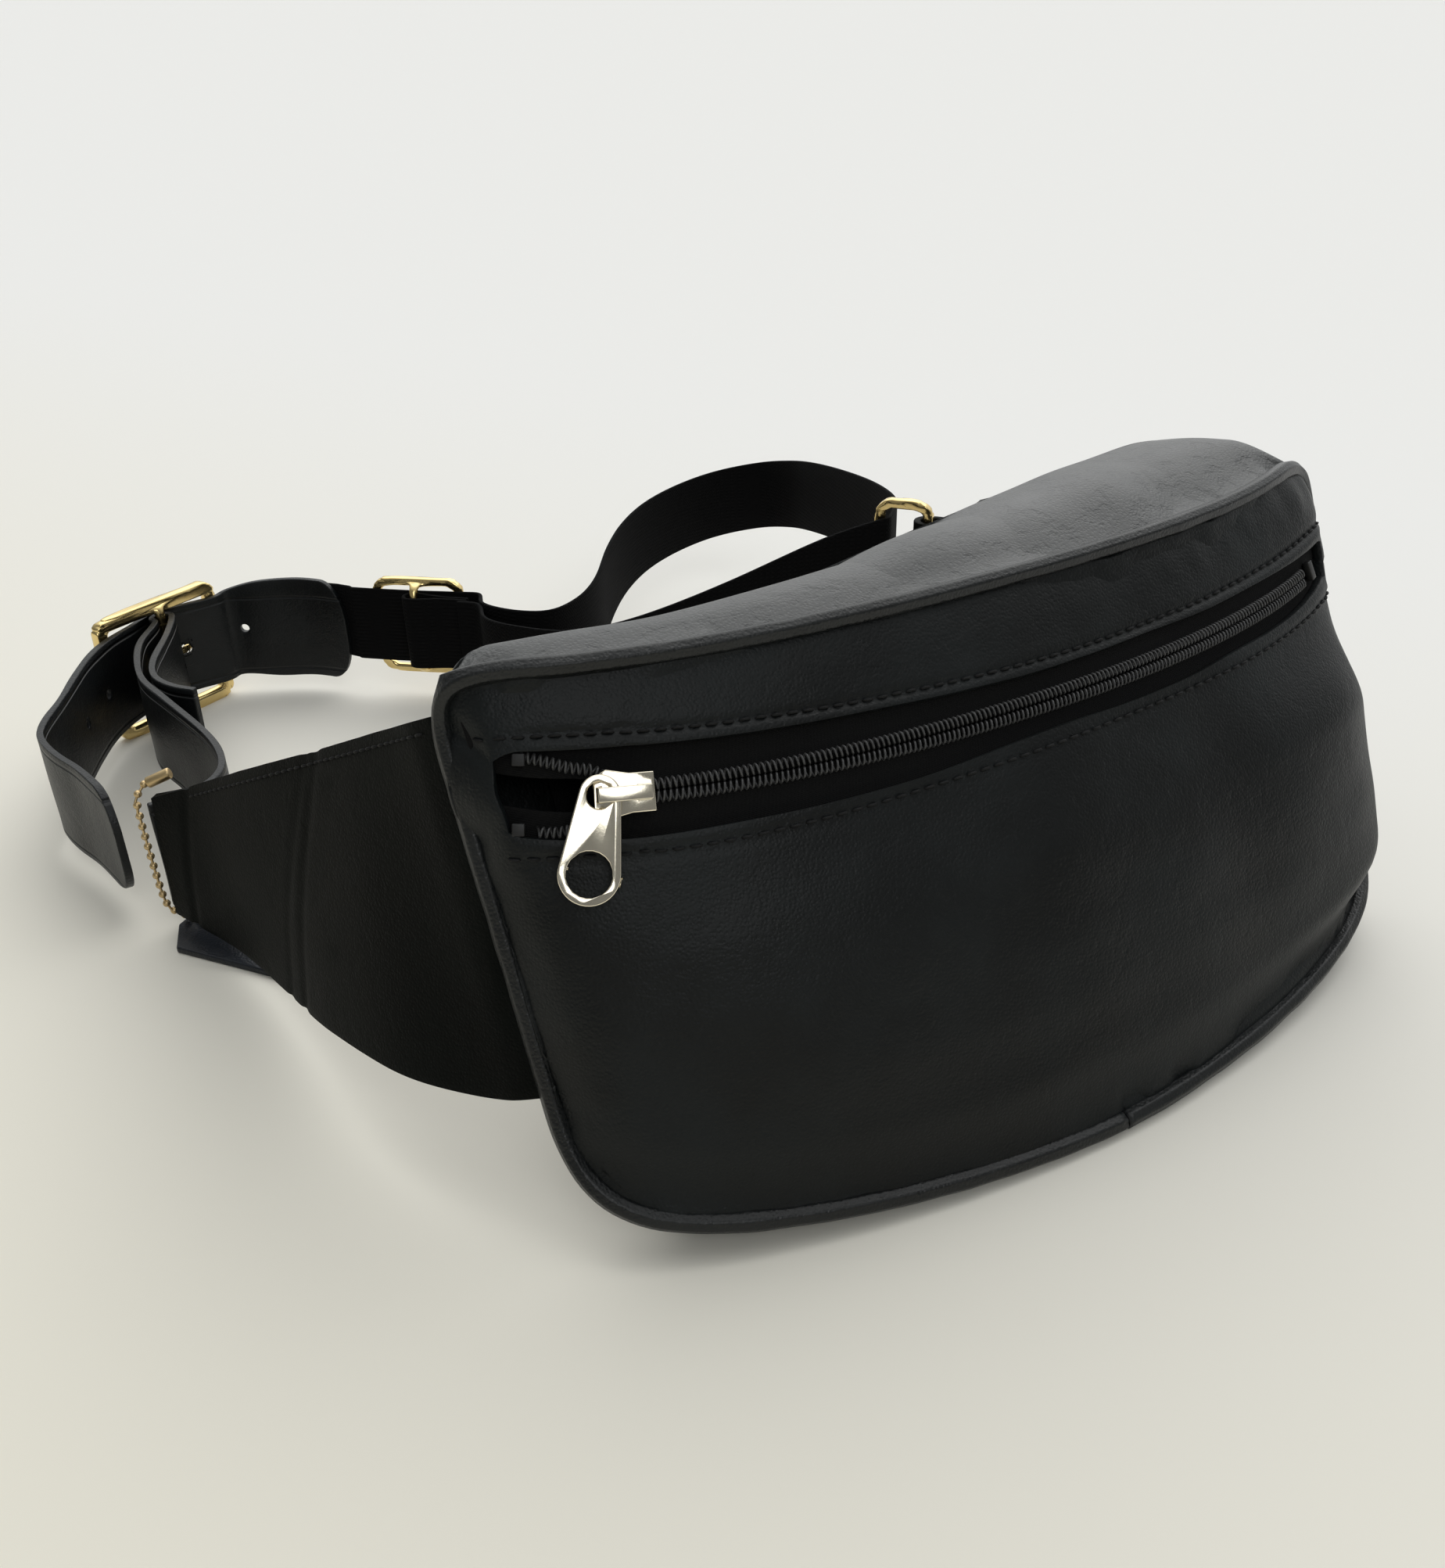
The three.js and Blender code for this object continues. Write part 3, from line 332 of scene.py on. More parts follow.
def spine(node, reach, start=None):
    """The middle line of a tube-like node, from its -X end or from a given place: its rings' centres."""
    shape = bmesh.new()
    shape.from_mesh(frame["nodes"][node].data)
    bmesh.ops.remove_doubles(shape, verts=shape.verts, dist=2e-6)
    shape.verts.index_update()
    first = min(shape.verts, key=lambda v: (v.co - start).length if start else v.co.x)
    ring = {v for v in shape.verts if (v.co - first.co).length < reach}
    seen, centres = set(), []
    while ring:
        centres.append(sum((v.co for v in in_order(ring)), Vector()) / len(ring))
        seen |= ring
        ring = {e.other_vert(v) for v in ring for e in v.link_edges} - seen
    shape.free()
    return centres


def resample(points, pitch):
    """Points and directions a pitch apart along a smooth line through the given points."""
    line = np.array([tuple(p) for p in points])
    lengths = np.concatenate([[0], np.cumsum(np.linalg.norm(np.diff(line, axis=0), axis=1))])
    stations = np.arange(0, lengths[-1], pitch)
    spots = [Vector([np.interp(s, lengths, line[:, k]) for k in range(3)]) for s in stations]
    last = len(spots) - 1
    ways = [(spots[min(i + 1, last)] - spots[max(i - 1, 0)]).normalized() for i in range(len(spots))]
    return list(zip(spots, ways))


black_hide = leather("black_hide", (0.0022, 0.003, 0.0031, 1), (0.0062, 0.0084, 0.009, 1), 0.42, gloss=0.24)
piping_tree = tree_of("front_piping")
SEAM_REACH, SEAM_TUCK = 0.012, 0.0014
SLOT_HALF, SLOT_NARROW, SLOT_SHORTER, SEAM_FROM_LIP = 0.010, 0.0062, -0.004, 0.0042
OUTER_HEIGHT, ZIP_STEP, ZIP_BEYOND, ZIP_RING = 0.07, 0.001, 0.03, 0.0024
panel = soft_copy("front_panel", "front_panel_leather", levels=2)
tuck(panel, piping_tree, SEAM_REACH, SEAM_TUCK, height=OUTER_HEIGHT)
panel_low, panel_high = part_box("front_panel")
panel_up = Vector((0, 0.44, 0.9)).normalized()
coil_lines = {node: spine(node, ZIP_RING) for node in ("zip_coil_upper", "zip_coil_lower")}
zip_points = [(a + b) / 2 for a, b in zip(*coil_lines.values())]
zip_points.insert(0, zip_points[0] + (zip_points[0] - zip_points[1]).normalized() * ZIP_BEYOND)
zip_points.append(zip_points[-1] + (zip_points[-1] - zip_points[-2]).normalized() * ZIP_BEYOND)
zip_stations = resample(zip_points, ZIP_STEP)
zip_tree = KDTree(len(zip_stations))
for index, (spot, _) in enumerate(zip_stations):
    zip_tree.insert(spot, index)
zip_tree.balance()


def beside_zip(place):
    """How far along the zip a place is, how far up the panel from it, and the zip's direction there."""
    spot, index, _ = zip_tree.find(place)
    way = zip_stations[index][1]
    return index * ZIP_STEP + (place - spot).dot(way), (place - spot).dot(panel_up), way


def smooth(value, start, end):
    share = min(max((value - start) / (end - start), 0), 1)
    return share * share * (3 - 2 * share)


shape = bmesh.new()
shape.from_mesh(panel.data)
slot_loop = max((loop for loop in rims(shape) if tallness(loop) < OUTER_HEIGHT), key=len)
slot_reach = [beside_zip(v.co)[0] for v in slot_loop]
shape.free()
slot_start, slot_end = min(slot_reach), max(slot_reach)


def lip_at(along):
    """Half the slot's height: its lips come closer towards the right."""
    share = smooth((along - slot_start) / (slot_end - slot_start), 0.05, 0.6)
    return SLOT_HALF + (SLOT_NARROW - SLOT_HALF) * share


for vertex in panel.data.vertices:
    along, up, way = beside_zip(vertex.co)
    away = 1 - smooth(abs(up), SLOT_HALF, SLOT_HALF * 2.4)
    if away and slot_start - 0.03 < along < slot_end + 0.03:
        near_start = 1 - smooth(abs(along - slot_start), 0, 0.03)
        shift = Vector((SLOT_SHORTER * near_start * away, 0))
        shift.y = -math.copysign(SLOT_HALF - lip_at(along), up) * away
        spot = Vector((along + shift.x, up + shift.y))
        for end, inwards in ((slot_start + SLOT_SHORTER, 1), (slot_end, -1)):
            lip = lip_at(end)
            corner = Vector((spot.x - end - inwards * lip, spot.y))
            square = max(abs(corner.x), abs(corner.y))
            if corner.x * inwards < 0 and corner.length:
                shift += corner * (square / corner.length - 1) * (1 - smooth(square, 1.3 * lip, 2.2 * lip))
        vertex.co += way * shift.x + panel_up * shift.y
finer(panel, 1)


def panel_relief(place, normal):
    lower = 1 - (place.z - panel_low.z) / (panel_high.z - panel_low.z)
    along, up, _ = beside_zip(place)
    seam = abs(up) - lip_at(along) - SEAM_FROM_LIP
    inside = smooth(along, slot_start, slot_start + 0.01)
    sunk = math.exp(-(seam / 0.0011) ** 2) * 0.0005
    raised = math.exp(-((seam + 0.0026) / 0.0014) ** 2) * 0.0004
    groove = (sunk - raised) * inside
    soft = dents(place, 0.055, 3) * 0.0014 + dents(place, 0.024, 8) * 0.0004
    slack = dents(Vector((place.x * 0.35, place.y, place.z * 1.6)), 0.018, 5) * 0.0004 * lower
    band = smooth(up, 0.012, 0.02) * smooth(along, slot_start + 0.1, slot_end - 0.03)
    gathers = dents(Vector((place.x, place.y, 0)), 0.009, 12) * 0.0005 * band
    from_seam = smooth(piping_tree.find_nearest(place)[3], 0.001, 0.018) * smooth(-up, 0.01, 0.04)
    belly = from_seam * (0.0028 * lower + 0.0075 * smooth(place.x, 0.05, 0.135))
    return soft + slack + gathers + belly - groove


push(panel, panel_relief)
soft_rim(panel, 0.0005, clamp=True)
stow(panel, "bag", "leather", black_hide, "front_panel")

# ---- piping ------------------------------------------------------------------------------------
# A cord wrapped in a strip of the same leather, sewn into the seam round the front panel. Its
# surface is a little uneven, as the strip is drawn over the cord.
piping = soft_copy("front_piping", "front_piping_leather", levels=2)
push(piping, lambda place, normal: dents(place, 0.009, 4) * 0.00022)
piping_hide = leather("piping_hide", (0.0026, 0.0033, 0.0035, 1), (0.0066, 0.0082, 0.0086, 1), 0.36,
                      creases=0.5, gloss=0.4)
stow(piping, "bag", "leather", piping_hide, "front_piping")

# ---- top gusset --------------------------------------------------------------------------------
# A softer strip between the piping and the back, domed by what is under it and creased where it
# has been pressed. Its paler colour is a painted sheen for the light that the top catches.
gusset_hide = leather("gusset_hide", (0.005, 0.0062, 0.0062, 1), (0.013, 0.0156, 0.0152, 1), 0.38,
                      creases=2.2, gloss=0.6)
top = soft_copy("top_gusset", "top_gusset_leather", levels=2)
tuck(top, piping_tree, SEAM_REACH, SEAM_TUCK)
finer(top, 1)
top_low, top_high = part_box("top_gusset")


def gusset_relief(place, normal):
    along = (place.x - top_low.x) / (top_high.x - top_low.x)
    inner = math.sin(math.pi * min(max((place.y - 0.045) / 0.06, 0), 1))
    sag = math.exp(-((along - 0.5) / 0.1) ** 2) * 0.0022 + math.exp(-((along - 0.8) / 0.045) ** 2) * 0.0012
    ridge = math.exp(-((along - 0.68 - place.y * 0.8) / 0.05) ** 2) * 0.0012
    folds = dents(Vector((place.x, place.y * 0.45, 0)), 0.04, 11)
    return 0.0007 * folds + (ridge - sag) * inner


push(top, gusset_relief)
soft_rim(top, 0.0004, clamp=True)
stow(top, "bag", "leather", gusset_hide, "top_gusset")

# ---- back panel, bottom gusset and lining ------------------------------------------------------
# The back is the same leather, swelled against the wearer; the bottom gusset is the strip that the
# pack stands on. The lining is thin black cloth, seen only through the open end of the zip.
for node in ("back_panel", "bottom_gusset"):
    side = soft_copy(node, f"{node}_leather", levels=2)
    tuck(side, piping_tree, SEAM_REACH, SEAM_TUCK)
    finer(side, 1)
    if node == "back_panel":
        push(side, lambda place, normal: dents(place, 0.05, 21) * 0.0012 + dents(place, 0.02, 25) * 0.0003)
    soft_rim(side, 0.0004, clamp=True)
    stow(side, "bag", "leather", black_hide, node)


def cloth(name, color, pitch, depth, roughness=0.9):
    """Plain woven cloth: threads over and under, a little fuzzy."""
    made, place, inputs = finish(name)
    warp = ((place.axis(0) + place.axis(1)) * (math.tau / pitch)).math("SINE")
    weft = (place.axis(2) * (math.tau / pitch)).math("SINE")
    weave = warp * weft * 0.5 + 0.5
    fuzz = place.noise(900, 3)
    shade = weave * 0.6 + fuzz * 0.5
    shadow = tuple(c * 0.45 for c in color)
    plug(inputs, Base_Color=shade.blend((*shadow, 1), (*color, 1)),
         Roughness=roughness, Normal=bump(weave + fuzz * 0.4, depth), Specular_IOR_Level=0.15)
    return made


lining_cloth = cloth("lining_cloth", (0.012, 0.012, 0.0125), 0.0011, 0.00015)
for node in ("lining_front", "lining_back"):
    stow(soft_copy(node, f"{node}_cloth", levels=2), "bag", "lining", lining_cloth, node)

# ---- zip ---------------------------------------------------------------------------------------
# Two woven tapes sewn behind the slot, each with a nylon coil. Right of the slider the coils mesh.
# The slider and pull are nickel-plated.
tape_cloth = cloth("tape_cloth", (0.006, 0.006, 0.0062), 0.0008, 0.0001)
TAPE_LONGER, TAPE_EASE, COIL_LONGER, STOP_MOVE = 0.006, 0.004, 0.012, 0.009
for node in ("zip_tape_upper", "zip_tape_lower"):
    tape = soft_copy(node, f"{node}_cloth", levels=2)
    left = min(v.co.x for v in tape.data.vertices)
    tape_end = [v.co for v in tape.data.vertices if v.co.x < left + 0.001]
    tape_end = sum(tape_end, Vector()) / len(tape_end)
    before = [v.co for v in tape.data.vertices if left + 0.005 < v.co.x < left + 0.008]
    end_way = (tape_end - sum(before, Vector()) / len(before)).normalized()
    for vertex in tape.data.vertices:
        vertex.co += end_way * TAPE_LONGER * smooth((vertex.co - tape_end).dot(end_way), -TAPE_EASE, 0)
    soft_rim(tape, 0.0002, clamp=True)
    stow(tape, "bag", "zip_tape", tape_cloth, node)


def run_on(line, length, steps=4):
    """Runs a coil's line on at its left end, turning as the tape does; returns the new points, end first."""
    way, added = (line[0] - line[2]).normalized(), [line[0]]
    for step in range(steps):
        added.insert(0, added[0] + way.lerp(end_way, (step + 0.5) / steps).normalized() * length / steps)
    return added[:-1]


COIL_PITCH, COIL_RADIUS, COIL_WIRE = 0.00145, 0.00092, 0.00032
COIL_WIDER, COIL_FLATTER, COIL_SIDES = 1.36, 0.8, 8
nylon, nylon_place, nylon_inputs = finish("coil_nylon")
nylon_shade = nylon_place.noise(400, 2).blend((0.025, 0.025, 0.026, 1), (0.06, 0.06, 0.061, 1))
plug(nylon_inputs, Base_Color=nylon_shade, Roughness=nylon_place.noise(300, 2) * 0.2 + 0.3)
for node, turn_way in (("zip_coil_upper", 1), ("zip_coil_lower", -1)):
    line_points = run_on(coil_lines[node], COIL_LONGER) + coil_lines[node]
    line = bpy.data.curves.new(node, "CURVE")
    line.dimensions, line.bevel_depth, line.bevel_resolution = "3D", COIL_WIRE, 1
    thread = line.splines.new("POLY")
    helix = []
    for i, (spot, way) in enumerate(resample(line_points, COIL_PITCH / COIL_SIDES)):
        across = way.cross(Vector((0, -0.86, 0.5))).normalized()
        outwards = way.cross(across)
        angle = turn_way * math.tau * i / COIL_SIDES + (math.pi if turn_way < 0 else 0)
        wide, tall = COIL_WIDER * math.cos(angle), COIL_FLATTER * math.sin(angle)
        helix.append(spot + COIL_RADIUS * (wide * across + tall * outwards))
    thread.points.add(len(helix) - 1)
    for point, spot in zip(thread.points, helix):
        point.co = (*spot, 1)
    coil = bpy.data.objects.new(f"{node}_helix", line)
    bpy.context.scene.collection.objects.link(coil)
    only(coil)
    bpy.ops.object.convert(target="MESH")
    bpy.ops.object.shade_smooth()
    stow(bpy.context.object, "bag", "zip_coil", nylon, node)


def metal(name, color, roughness, pits=0.000008, cloud=0.08):
    """Plated or cast metal: faint tumbling marks, cloudy shine and a touch of tarnish."""
    made, place, inputs = finish(name)
    cloudy = place.noise(90, 2)
    marks = place.noise(1500, 3, 0.6)
    dull = tuple(c * 0.86 for c in color)
    plug(inputs, Base_Color=cloudy.step(0.3, 0.75).blend((*dull, 1), (*color, 1)), Metallic=1.0,
         Roughness=cloudy * cloud + marks * 0.04 + (roughness - 0.05), Normal=bump(marks, pits))
    return made


def cast_copy(node, name, width, steps=3, angle=30):
    """A copy of a hard node with its edges rounded as a casting's are."""
    piece = soft_copy(node, name, levels=0)
    soft_rim(piece, width, steps, angle)
    return piece


def sink_face(piece, rim, depth):
    """Sinks the middle of a flat plate's outer face, and leaves a raised rim round it and its holes."""
    shape = bmesh.new()
    shape.from_mesh(piece.data)
    outer = max(shape.faces, key=lambda f: f.calc_area()).normal.copy()
    outer = outer if outer.y < 0 else -outer
    faces = [f for f in shape.faces if f.normal.dot(outer) > 0.98]
    bmesh.ops.inset_region(shape, faces=faces, thickness=rim)
    bmesh.ops.inset_region(shape, faces=faces, thickness=depth * 0.4, depth=-depth)
    for face in faces:
        face.material_index = 1
    shape.to_mesh(piece.data)
    shape.free()


dark_nylon, dark_place, dark_inputs = finish("stop_nylon")
plug(dark_inputs, Base_Color=(0.004, 0.004, 0.0042, 1), Roughness=dark_place.noise(300, 2) * 0.2 + 0.4)
for node in ("zip_stop_upper", "zip_stop_lower", "zip_stop_right"):
    stop = cast_copy(node, f"{node}_nylon", 0.0003)
    if node != "zip_stop_right":
        line = coil_lines[node.replace("stop", "coil")]
        for vertex in stop.data.vertices:
            vertex.co += run_on(line, STOP_MOVE)[0] - line[0]
    stow(stop, "bag", "zip_coil", dark_nylon, node)
plated = metal("warm_nickel", (0.86, 0.79, 0.64), 0.13)
for node, body in (("zip_slider", "slider"), ("zip_pull", "pull")):
    piece = soft_copy(node, f"{node}_metal", levels=0)
    if node == "zip_pull":
        piece.data.materials.append(plated)
        piece.data.materials.append(metal("pull_recess", (0.3, 0.27, 0.22), 0.34, pits=0.0002, cloud=0.2))
        sink_face(piece, 0.0011, 0.0004)
    soft_rim(piece, 0.0003, 3, 30)
    stow(piece, body, "nickel", plated, node)

# ---- seams of the front panel ------------------------------------------------------------------
# Two rows of waxed black thread hold the tapes behind the slot. Each stitch is a short capsule that
# lies on the leather.


def stitches(name, line, skin, outside, pitch, length, radius, lift=0.00025):
    """A row of stitches along a line, laid on a skin from outside. Each dips at its ends."""
    surface = BVHTree.FromObject(skin, bpy.context.evaluated_depsgraph_get())
    shape = bmesh.new()
    sides = 6
    rings = ((-0.5, 0.35, -0.8), (-0.36, 0.9, 0.1), (0, 1, 0.45), (0.36, 0.9, 0.1), (0.5, 0.35, -0.8))
    for spot, _ in resample(line, pitch):
        base, normal, _, _ = surface.ray_cast(spot + outside * 0.02, -outside)
        if base is None:
            continue
        ahead_spot = min(line, key=lambda p: (p - base).length)
        index = line.index(ahead_spot)
        way = (line[min(index + 1, len(line) - 1)] - line[max(index - 1, 0)]).normalized()
        way = (way - normal * way.dot(normal)).normalized()
        across = normal.cross(way)
        loops = []
        for share, width, rise in rings:
            centre = base + way * share * length + normal * (lift + rise * radius)
            angles = [math.tau * k / sides for k in range(sides)]
            around = [math.cos(a) * across + math.sin(a) * normal for a in angles]
            loops.append([shape.verts.new(centre + radius * width * way_out) for way_out in around])
        for near, far in zip(loops, loops[1:]):
            for k in range(sides):
                shape.faces.new((near[k], near[(k + 1) % sides], far[(k + 1) % sides], far[k]))
        shape.faces.new(loops[0][::-1])
        shape.faces.new(loops[-1])
    bmesh.ops.recalc_face_normals(shape, faces=shape.faces)
    sewn = bpy.data.objects.new(name, bpy.data.meshes.new(name))
    shape.to_mesh(sewn.data)
    shape.free()
    bpy.context.scene.collection.objects.link(sewn)
    only(sewn)
    bpy.ops.object.shade_smooth()
    return sewn


thread, thread_place, thread_inputs = finish("waxed_thread")
thread_shade = thread_place.noise(2500, 2).blend((0.003, 0.003, 0.003, 1), (0.009, 0.0095, 0.01, 1))
plug(thread_inputs, Base_Color=thread_shade, Roughness=0.6, Normal=bump(thread_place.noise(3500, 2), 0.0001),
     Specular_IOR_Level=0.2)
SEAM_STATIONS = 4
for name, side in (("slot_stitches_top", 1), ("slot_stitches_bottom", -1)):
    row = []
    for index, (spot, _) in enumerate(zip_stations[::SEAM_STATIONS]):
        along = index * SEAM_STATIONS * ZIP_STEP
        if slot_start < along < slot_end:
            row.append(spot + panel_up * side * (lip_at(along) + SEAM_FROM_LIP))
    out = Vector((0, -0.9, 0.44)).normalized()
    stow(stitches(name, row, panel, out, 0.0041, 0.0031, 0.00042), "bag", "leather", thread)

# ---- wings -------------------------------------------------------------------------------------
# Tapering panels of leather and lining, glued, sewn along their top edges and left raw at the cut.
# They fold a little beside the strap, and crease where they bend.
WING_SEAM_DROP, FOLD_FROM_END = 0.0036, 0.012
wing_hide = leather("wing_hide", (0.0014, 0.0019, 0.0015, 1), (0.0036, 0.0046, 0.0038, 1), 0.55, gloss=0.06)


def straighten_top(piece, low, high, stations=24):
    """Scales a wing's height along its length so that its top edge runs straight; returns that edge."""
    points = np.array([tuple(v.co) for v in piece.data.vertices])
    marks = np.linspace(low.y, high.y, stations + 1)
    tops = []
    for start, end in zip(marks, marks[1:]):
        inside = points[(points[:, 1] >= start) & (points[:, 1] <= end)]
        if len(inside):
            tops.append(inside[inside[:, 2].argmax()])
    tops = np.array(tops)[int(np.argmax([top[2] for top in tops])):]
    straight = np.interp(tops[:, 1], tops[[0, -1], 1], tops[[0, -1], 2])
    for vertex in piece.data.vertices:
        if vertex.co.y > tops[0, 1]:
            rise = np.interp(vertex.co.y, tops[:, 1], straight - tops[:, 2])
            top = np.interp(vertex.co.y, tops[:, 1], tops[:, 2])
            vertex.co.z += rise * smooth(vertex.co.z, top - 0.05, top)
    tops[:, 2] = straight
    return [Vector(spot) for spot in tops]


for node, crease_at, outside in (("left_wing", 0.125, (-1, 0, 0)), ("right_wing", 0.13, (1, 0, 0))):
    wing = soft_copy(node, f"{node}_leather", levels=2)
    tuck(wing, piping_tree, 0.0035, 0.0012, pull=0.006)
    finer(wing, 1)
    low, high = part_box(node)
    top_edge = straighten_top(wing, low, high)
    fold_at = high.y - FOLD_FROM_END

    def wing_relief(place, normal, low=low, crease_at=crease_at, fold_at=fold_at):
        rise = place.z - low.z
        crease = math.exp(-((place.y - crease_at - rise * 0.05) / 0.0022) ** 2)
        second = math.exp(-((place.y - crease_at - 0.012 + rise * 0.04) / 0.0018) ** 2)
        fold = math.exp(-((place.y - fold_at + rise * 0.03) / 0.0016) ** 2)
        return dents(place, 0.035, 31) * 0.0007 - 0.0006 * crease - 0.0004 * second - 0.0008 * fold

    push(wing, wing_relief)
    soft_rim(wing, 0.0005, clamp=True)
    stow(wing, "bag", "leather", wing_hide, node)
    row = [spot - Vector((0, 0, WING_SEAM_DROP)) for spot in top_edge[1:-1]]
    edge_seam = stitches(f"{node}_stitches", row, wing, Vector(outside), 0.0034, 0.0026, 0.0004)
    stow(edge_seam, "bag", "leather", thread)

# ---- ring and tab ------------------------------------------------------------------------------
# A cast brass loop held by a folded leather tab that is sewn to the right wing.
brass = metal("cast_brass", (0.86, 0.66, 0.3), 0.2)


def round_cast(node, name, swell=0.0003):
    """A copy of a cast frame with its bars rounded all over and swelled back to their thickness."""
    piece = soft_copy(node, name, levels=2, crease=0.15)
    push(piece, lambda place, normal: swell)
    return piece


tab = soft_copy("ring_tab", "ring_tab_leather", levels=2)
soft_rim(tab, 0.0004)
stow(tab, "bag", "leather", wing_hide, "ring_tab")
stow(round_cast("ring", "ring_brass"), "ring", "brass", brass, "ring")

# ---- webbing and tri-glide ---------------------------------------------------------------------
# One length of ribbed nylon webbing, doubled back through the ring; its sewn end loops round the
# middle bar of a cast brass tri-glide.
RIB_PITCH, PICK_PITCH = 0.0016, 0.0012
webbing, web_place, web_inputs = finish("ribbed_webbing")
web_rise = web_place.axis(2)
ribs = (web_rise * (math.tau / RIB_PITCH)).math("SINE")
picks = ((web_place.axis(0) * 0.8 + web_place.axis(1) * 0.9) * (math.tau / PICK_PITCH)).math("SINE")
web_weave = ribs * picks * 0.5 + ribs * 0.35 + 0.5
web_fuzz = web_place.noise(1200, 4)
web_shade = (web_weave * 0.5 + web_fuzz * 0.5).blend((0.001, 0.001, 0.0011, 1), (0.004, 0.004, 0.0043, 1))
plug(web_inputs, Base_Color=web_shade, Roughness=0.9, Normal=bump(web_weave + web_fuzz * 0.5, 0.00018),
     Specular_IOR_Level=0.12)
PADDLE_TIP, PADDLE_WAY = Vector((-0.0878, 0.35, 0.0287)), Vector((0.72, -0.69, 0)).normalized()
PADDLE_LAP, PADDLE_THICK, LAP_STEP, LAP_NEAR = 0.014, 0.0027, 0.005, 0.03
for node, body in (("webbing", "bag"), ("webbing_loop", "glide")):
    band = soft_copy(node, f"{node}_band", levels=2)
    for vertex in band.data.vertices:
        along = (vertex.co - PADDLE_TIP).dot(PADDLE_WAY)
        if node == "webbing" and (vertex.co - PADDLE_TIP).length < LAP_NEAR and along < LAP_STEP:
            behind = Vector((-PADDLE_WAY.y, PADDLE_WAY.x, 0))
            vertex.co += behind * PADDLE_THICK * (1 - smooth(along, 0.001, LAP_STEP))
            vertex.co -= PADDLE_WAY * PADDLE_LAP * (1 - smooth(along, 0, 0.003))
    soft_rim(band, 0.00045)
    stow(band, body, "webbing", webbing, node)
stow(round_cast("tri_glide", "tri_glide_brass", 0.0002), "glide", "brass", brass, "tri_glide")

# ---- buckle and straps -------------------------------------------------------------------------
# A cast brass buckle with a round prong. The buckle strap folds round its bar; the holed strap
# runs through it and its tail curls back on itself.
END_CURVE = 0.75
strap_hide = leather("strap_hide", (0.0035, 0.0042, 0.0046, 1), (0.0105, 0.0125, 0.0135, 1), 0.4, creases=1.1,
                     line_heights=(0.0432, 0.0108))


def round_end(piece, tip, outwards, reach, middle):
    """Cuts a strap's end round: over the last reach its height closes in as an ellipse's does."""
    for vertex in piece.data.vertices:
        into = (tip - vertex.co).dot(outwards) / reach
        beside = (vertex.co - tip).cross(outwards)
        if -0.2 < into < 1 and abs(beside.z) < 0.006:
            share = 1 - END_CURVE * (1 - math.sqrt(max(1 - (1 - max(into, 0)) ** 2, 0)))
            vertex.co.z = middle + (vertex.co.z - middle) * share


strap_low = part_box("holed_strap")[0]
TAIL_X, STRAP_MIDDLE, TAIL_REACH, PADDLE_REACH = -0.2035, 0.027, 0.015, 0.010
for node in ("holed_strap", "buckle_strap"):
    strap = soft_copy(node, f"{node}_leather", levels=3)
    if node == "holed_strap":
        tail_tip = Vector((TAIL_X, strap_low.y, STRAP_MIDDLE))
        round_end(strap, tail_tip, Vector((0, -1, 0)), TAIL_REACH, STRAP_MIDDLE)
        round_end(strap, PADDLE_TIP, PADDLE_WAY, PADDLE_REACH, PADDLE_TIP.z)
    push(strap, lambda place, normal: dents(place, 0.022, 41) * 0.0004)
    soft_rim(strap, 0.0005)
    stow(strap, "bag", "strap_leather", strap_hide, node)
stow(round_cast("buckle_frame", "buckle_frame_brass", 0.0005), "buckle", "brass", brass, "buckle_frame")
stow(cast_copy("buckle_prong", "buckle_prong_brass", 0.0004), "prong", "brass", brass, "buckle_prong")

# ---- ball chain and hang tag -------------------------------------------------------------------
# Hollow beads on wire links, closed by a crimped connector, carry a leather tag that lies on the table.
aged = metal("aged_brass", (0.6, 0.45, 0.24), 0.34, cloud=0.2)
BEAD_PITCH, BEAD_RADIUS, LINK_RADIUS = 0.0037, 0.00125, 0.00042
beads = []
connector_low, connector_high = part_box("chain_connector")
chain_line = spine("ball_chain", 0.0016, start=(connector_low + connector_high) / 2)
for spot, way in resample(chain_line, BEAD_PITCH):
    bpy.ops.mesh.primitive_uv_sphere_add(segments=14, ring_count=9, radius=BEAD_RADIUS, location=spot)
    bead = bpy.context.object
    bead.rotation_euler = way.to_track_quat("Z", "Y").to_euler()
    beads.append(bead)
    bpy.ops.mesh.primitive_cylinder_add(vertices=8, radius=LINK_RADIUS, depth=BEAD_PITCH * 0.6,
                                        location=spot + way * BEAD_PITCH / 2)
    link = bpy.context.object
    link.rotation_euler = way.to_track_quat("Z", "Y").to_euler()
    beads.append(link)
bpy.ops.object.select_all(action="DESELECT")
for bead in beads:
    bead.select_set(True)
bpy.context.view_layer.objects.active = beads[0]
bpy.ops.object.join()
bpy.ops.object.transform_apply(location=True, rotation=True, scale=True)
bpy.ops.object.shade_smooth_by_angle(angle=math.radians(50))
chain = bpy.context.object
chain.name = chain.data.name = "ball_chain_beads"
stow(chain, "bag", "aged_brass", aged, "ball_chain")
connector = cast_copy("chain_connector", "chain_connector_brass", 0.0005)
stow(connector, "bag", "aged_brass", aged, "chain_connector")
# The tag's pale blue tint is a painted sheen: the window's light on its up-facing face.
tag_hide = leather("tag_hide", (0.005, 0.006, 0.008, 1), (0.016, 0.02, 0.027, 1), 0.36, creases=0.4)
stow(cast_copy("hang_tag", "hang_tag_leather", 0.0006), "tag", "tag_leather", tag_hide, "hang_tag")
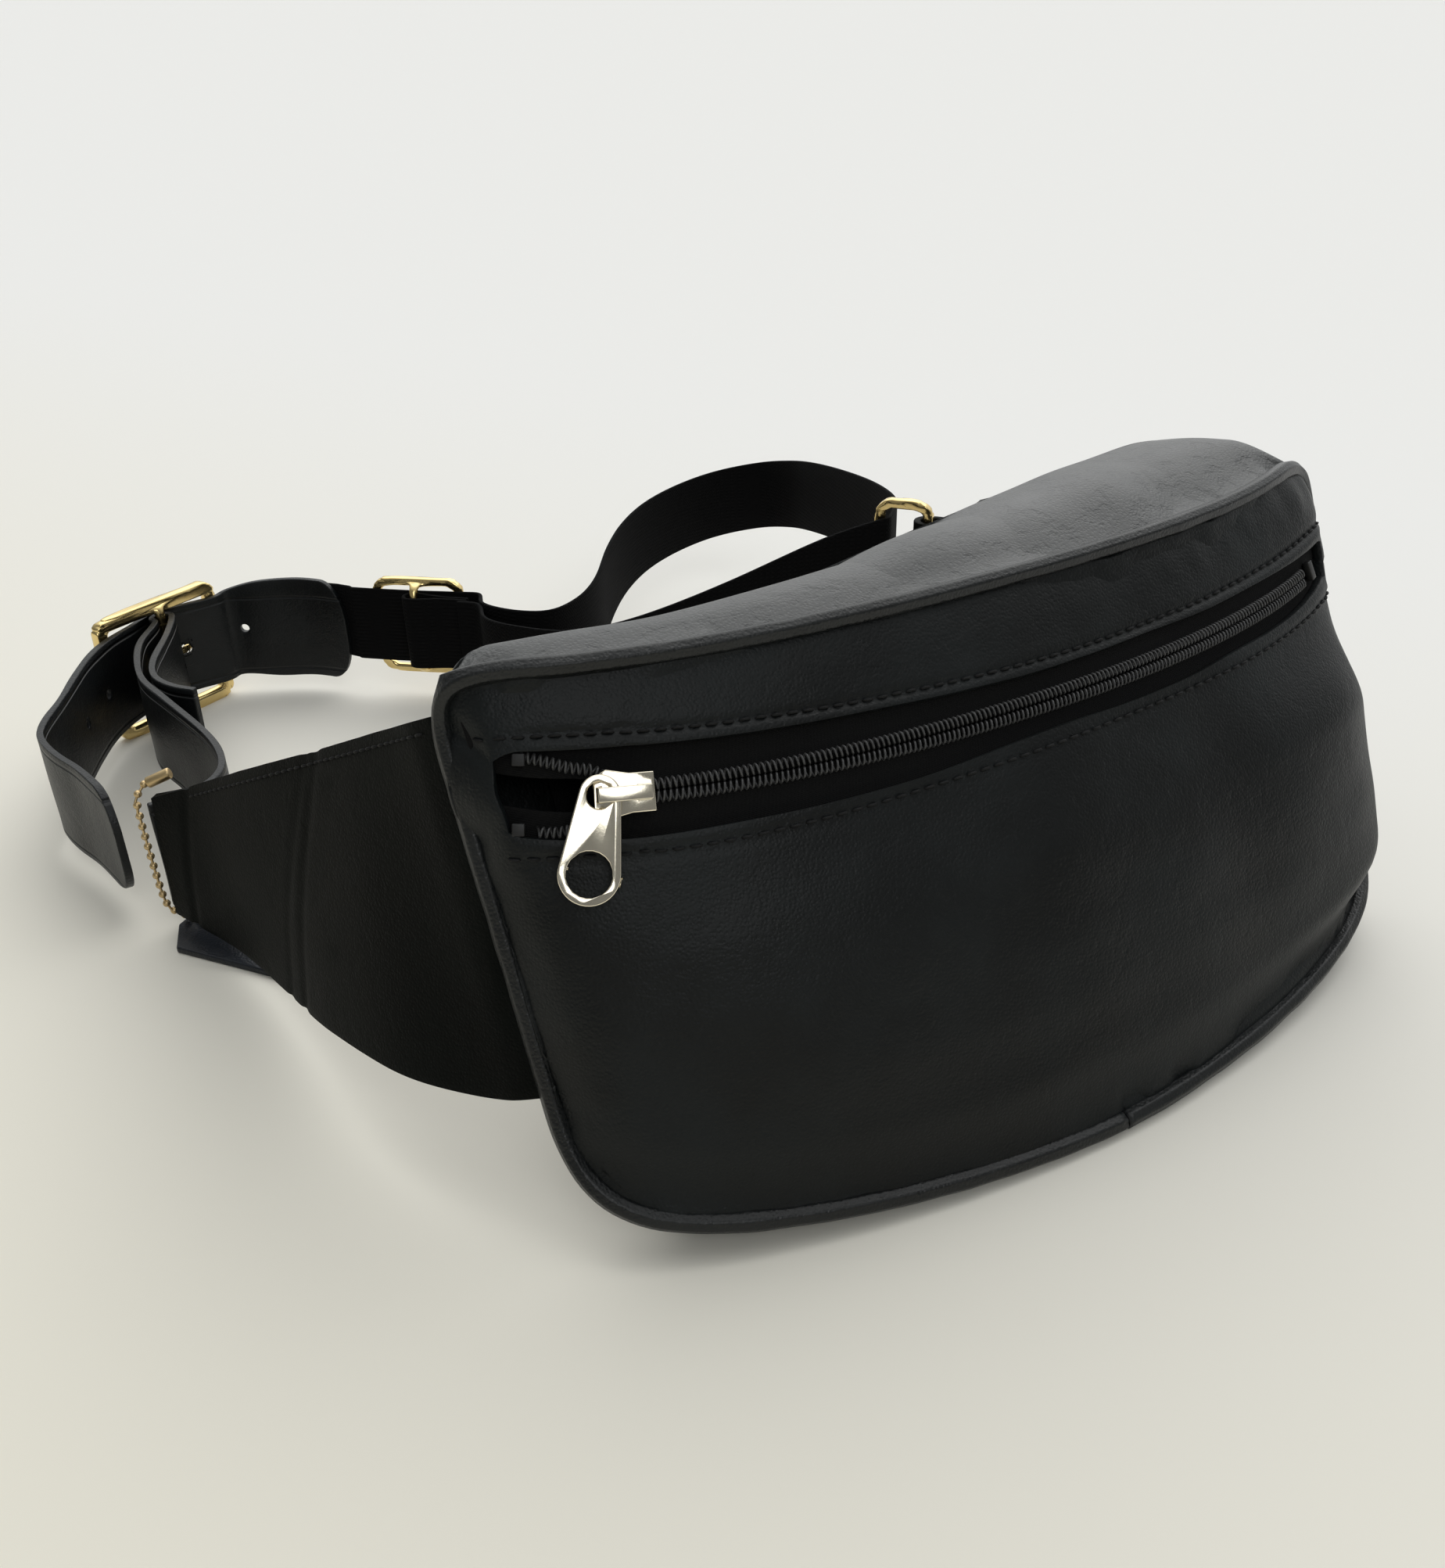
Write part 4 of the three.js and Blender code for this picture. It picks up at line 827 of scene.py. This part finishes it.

# ---- table, light and world --------------------------------------------------------------------
# A plain off-white table, its colour painted darker and warmer towards the near left as shade away
# from the window. The light is a large soft window on the right and behind, a pale room, and a small
# bright pane in front that the gloss shows.
TABLE_SIZE = 80
bpy.ops.mesh.primitive_plane_add(size=TABLE_SIZE, location=(0, 0, 0))
table = bpy.context.object
table.name = "table"
table_paint, table_place, table_inputs = finish("table_paint")
# Painted shade: the table's colour darkens and warms towards the near left, away from the window.
painted_shade_fade = (table_place.axis(0) * 0.8 + table_place.axis(1) * 0.35).step(-0.4, 0.5)
plug(table_inputs, Base_Color=painted_shade_fade.blend((0.80, 0.765, 0.66, 1), (0.83, 0.82, 0.80, 1)), Roughness=0.9,
     Specular_IOR_Level=0.0)
table.data.materials.append(table_paint)

WINDOW_ENERGY, WINDOW_SPREAD = 1.0, 70
WINDOW_WAY = Vector((0.42, 0.5, 0.76)).normalized()
PANE_WAY = Vector((-0.15, -0.75, 0.65)).normalized()
bpy.ops.object.light_add(type="SUN", location=(1, 1, 2))
window = bpy.context.object
window.name = "window"
window.data.energy, window.data.angle = WINDOW_ENERGY, math.radians(WINDOW_SPREAD)
window.data.color = (1.0, 0.99, 0.975)
window.rotation_euler = (-WINDOW_WAY).to_track_quat("-Z", "Y").to_euler()
world = bpy.data.worlds.new("room")
bpy.context.scene.world = world
world.use_nodes = True
room = world.node_tree
seen = Wire(room, room.nodes.new("ShaderNodeLightPath").outputs["Is Camera Ray"])
heading = Wire(room, room.nodes.new("ShaderNodeTexCoord").outputs["Generated"])
towards = heading.node("ShaderNodeVectorMath", {"operation": "DOT_PRODUCT"}, output=1,
                       i0=heading, i1=tuple(WINDOW_WAY)).step(0.2, 0.95)
pane = heading.node("ShaderNodeVectorMath", {"operation": "DOT_PRODUCT"}, output=1,
                    i0=heading, i1=tuple(PANE_WAY)).step(0.955, 0.97)
plug(room.nodes["Background"].inputs, Color=seen.blend((0.93, 0.95, 0.95, 1), (0.83, 0.80, 0.74, 1)),
     Strength=towards * 1.0 + pane * 2.4 + 0.21)
bpy.context.scene.view_settings.view_transform = "Standard"
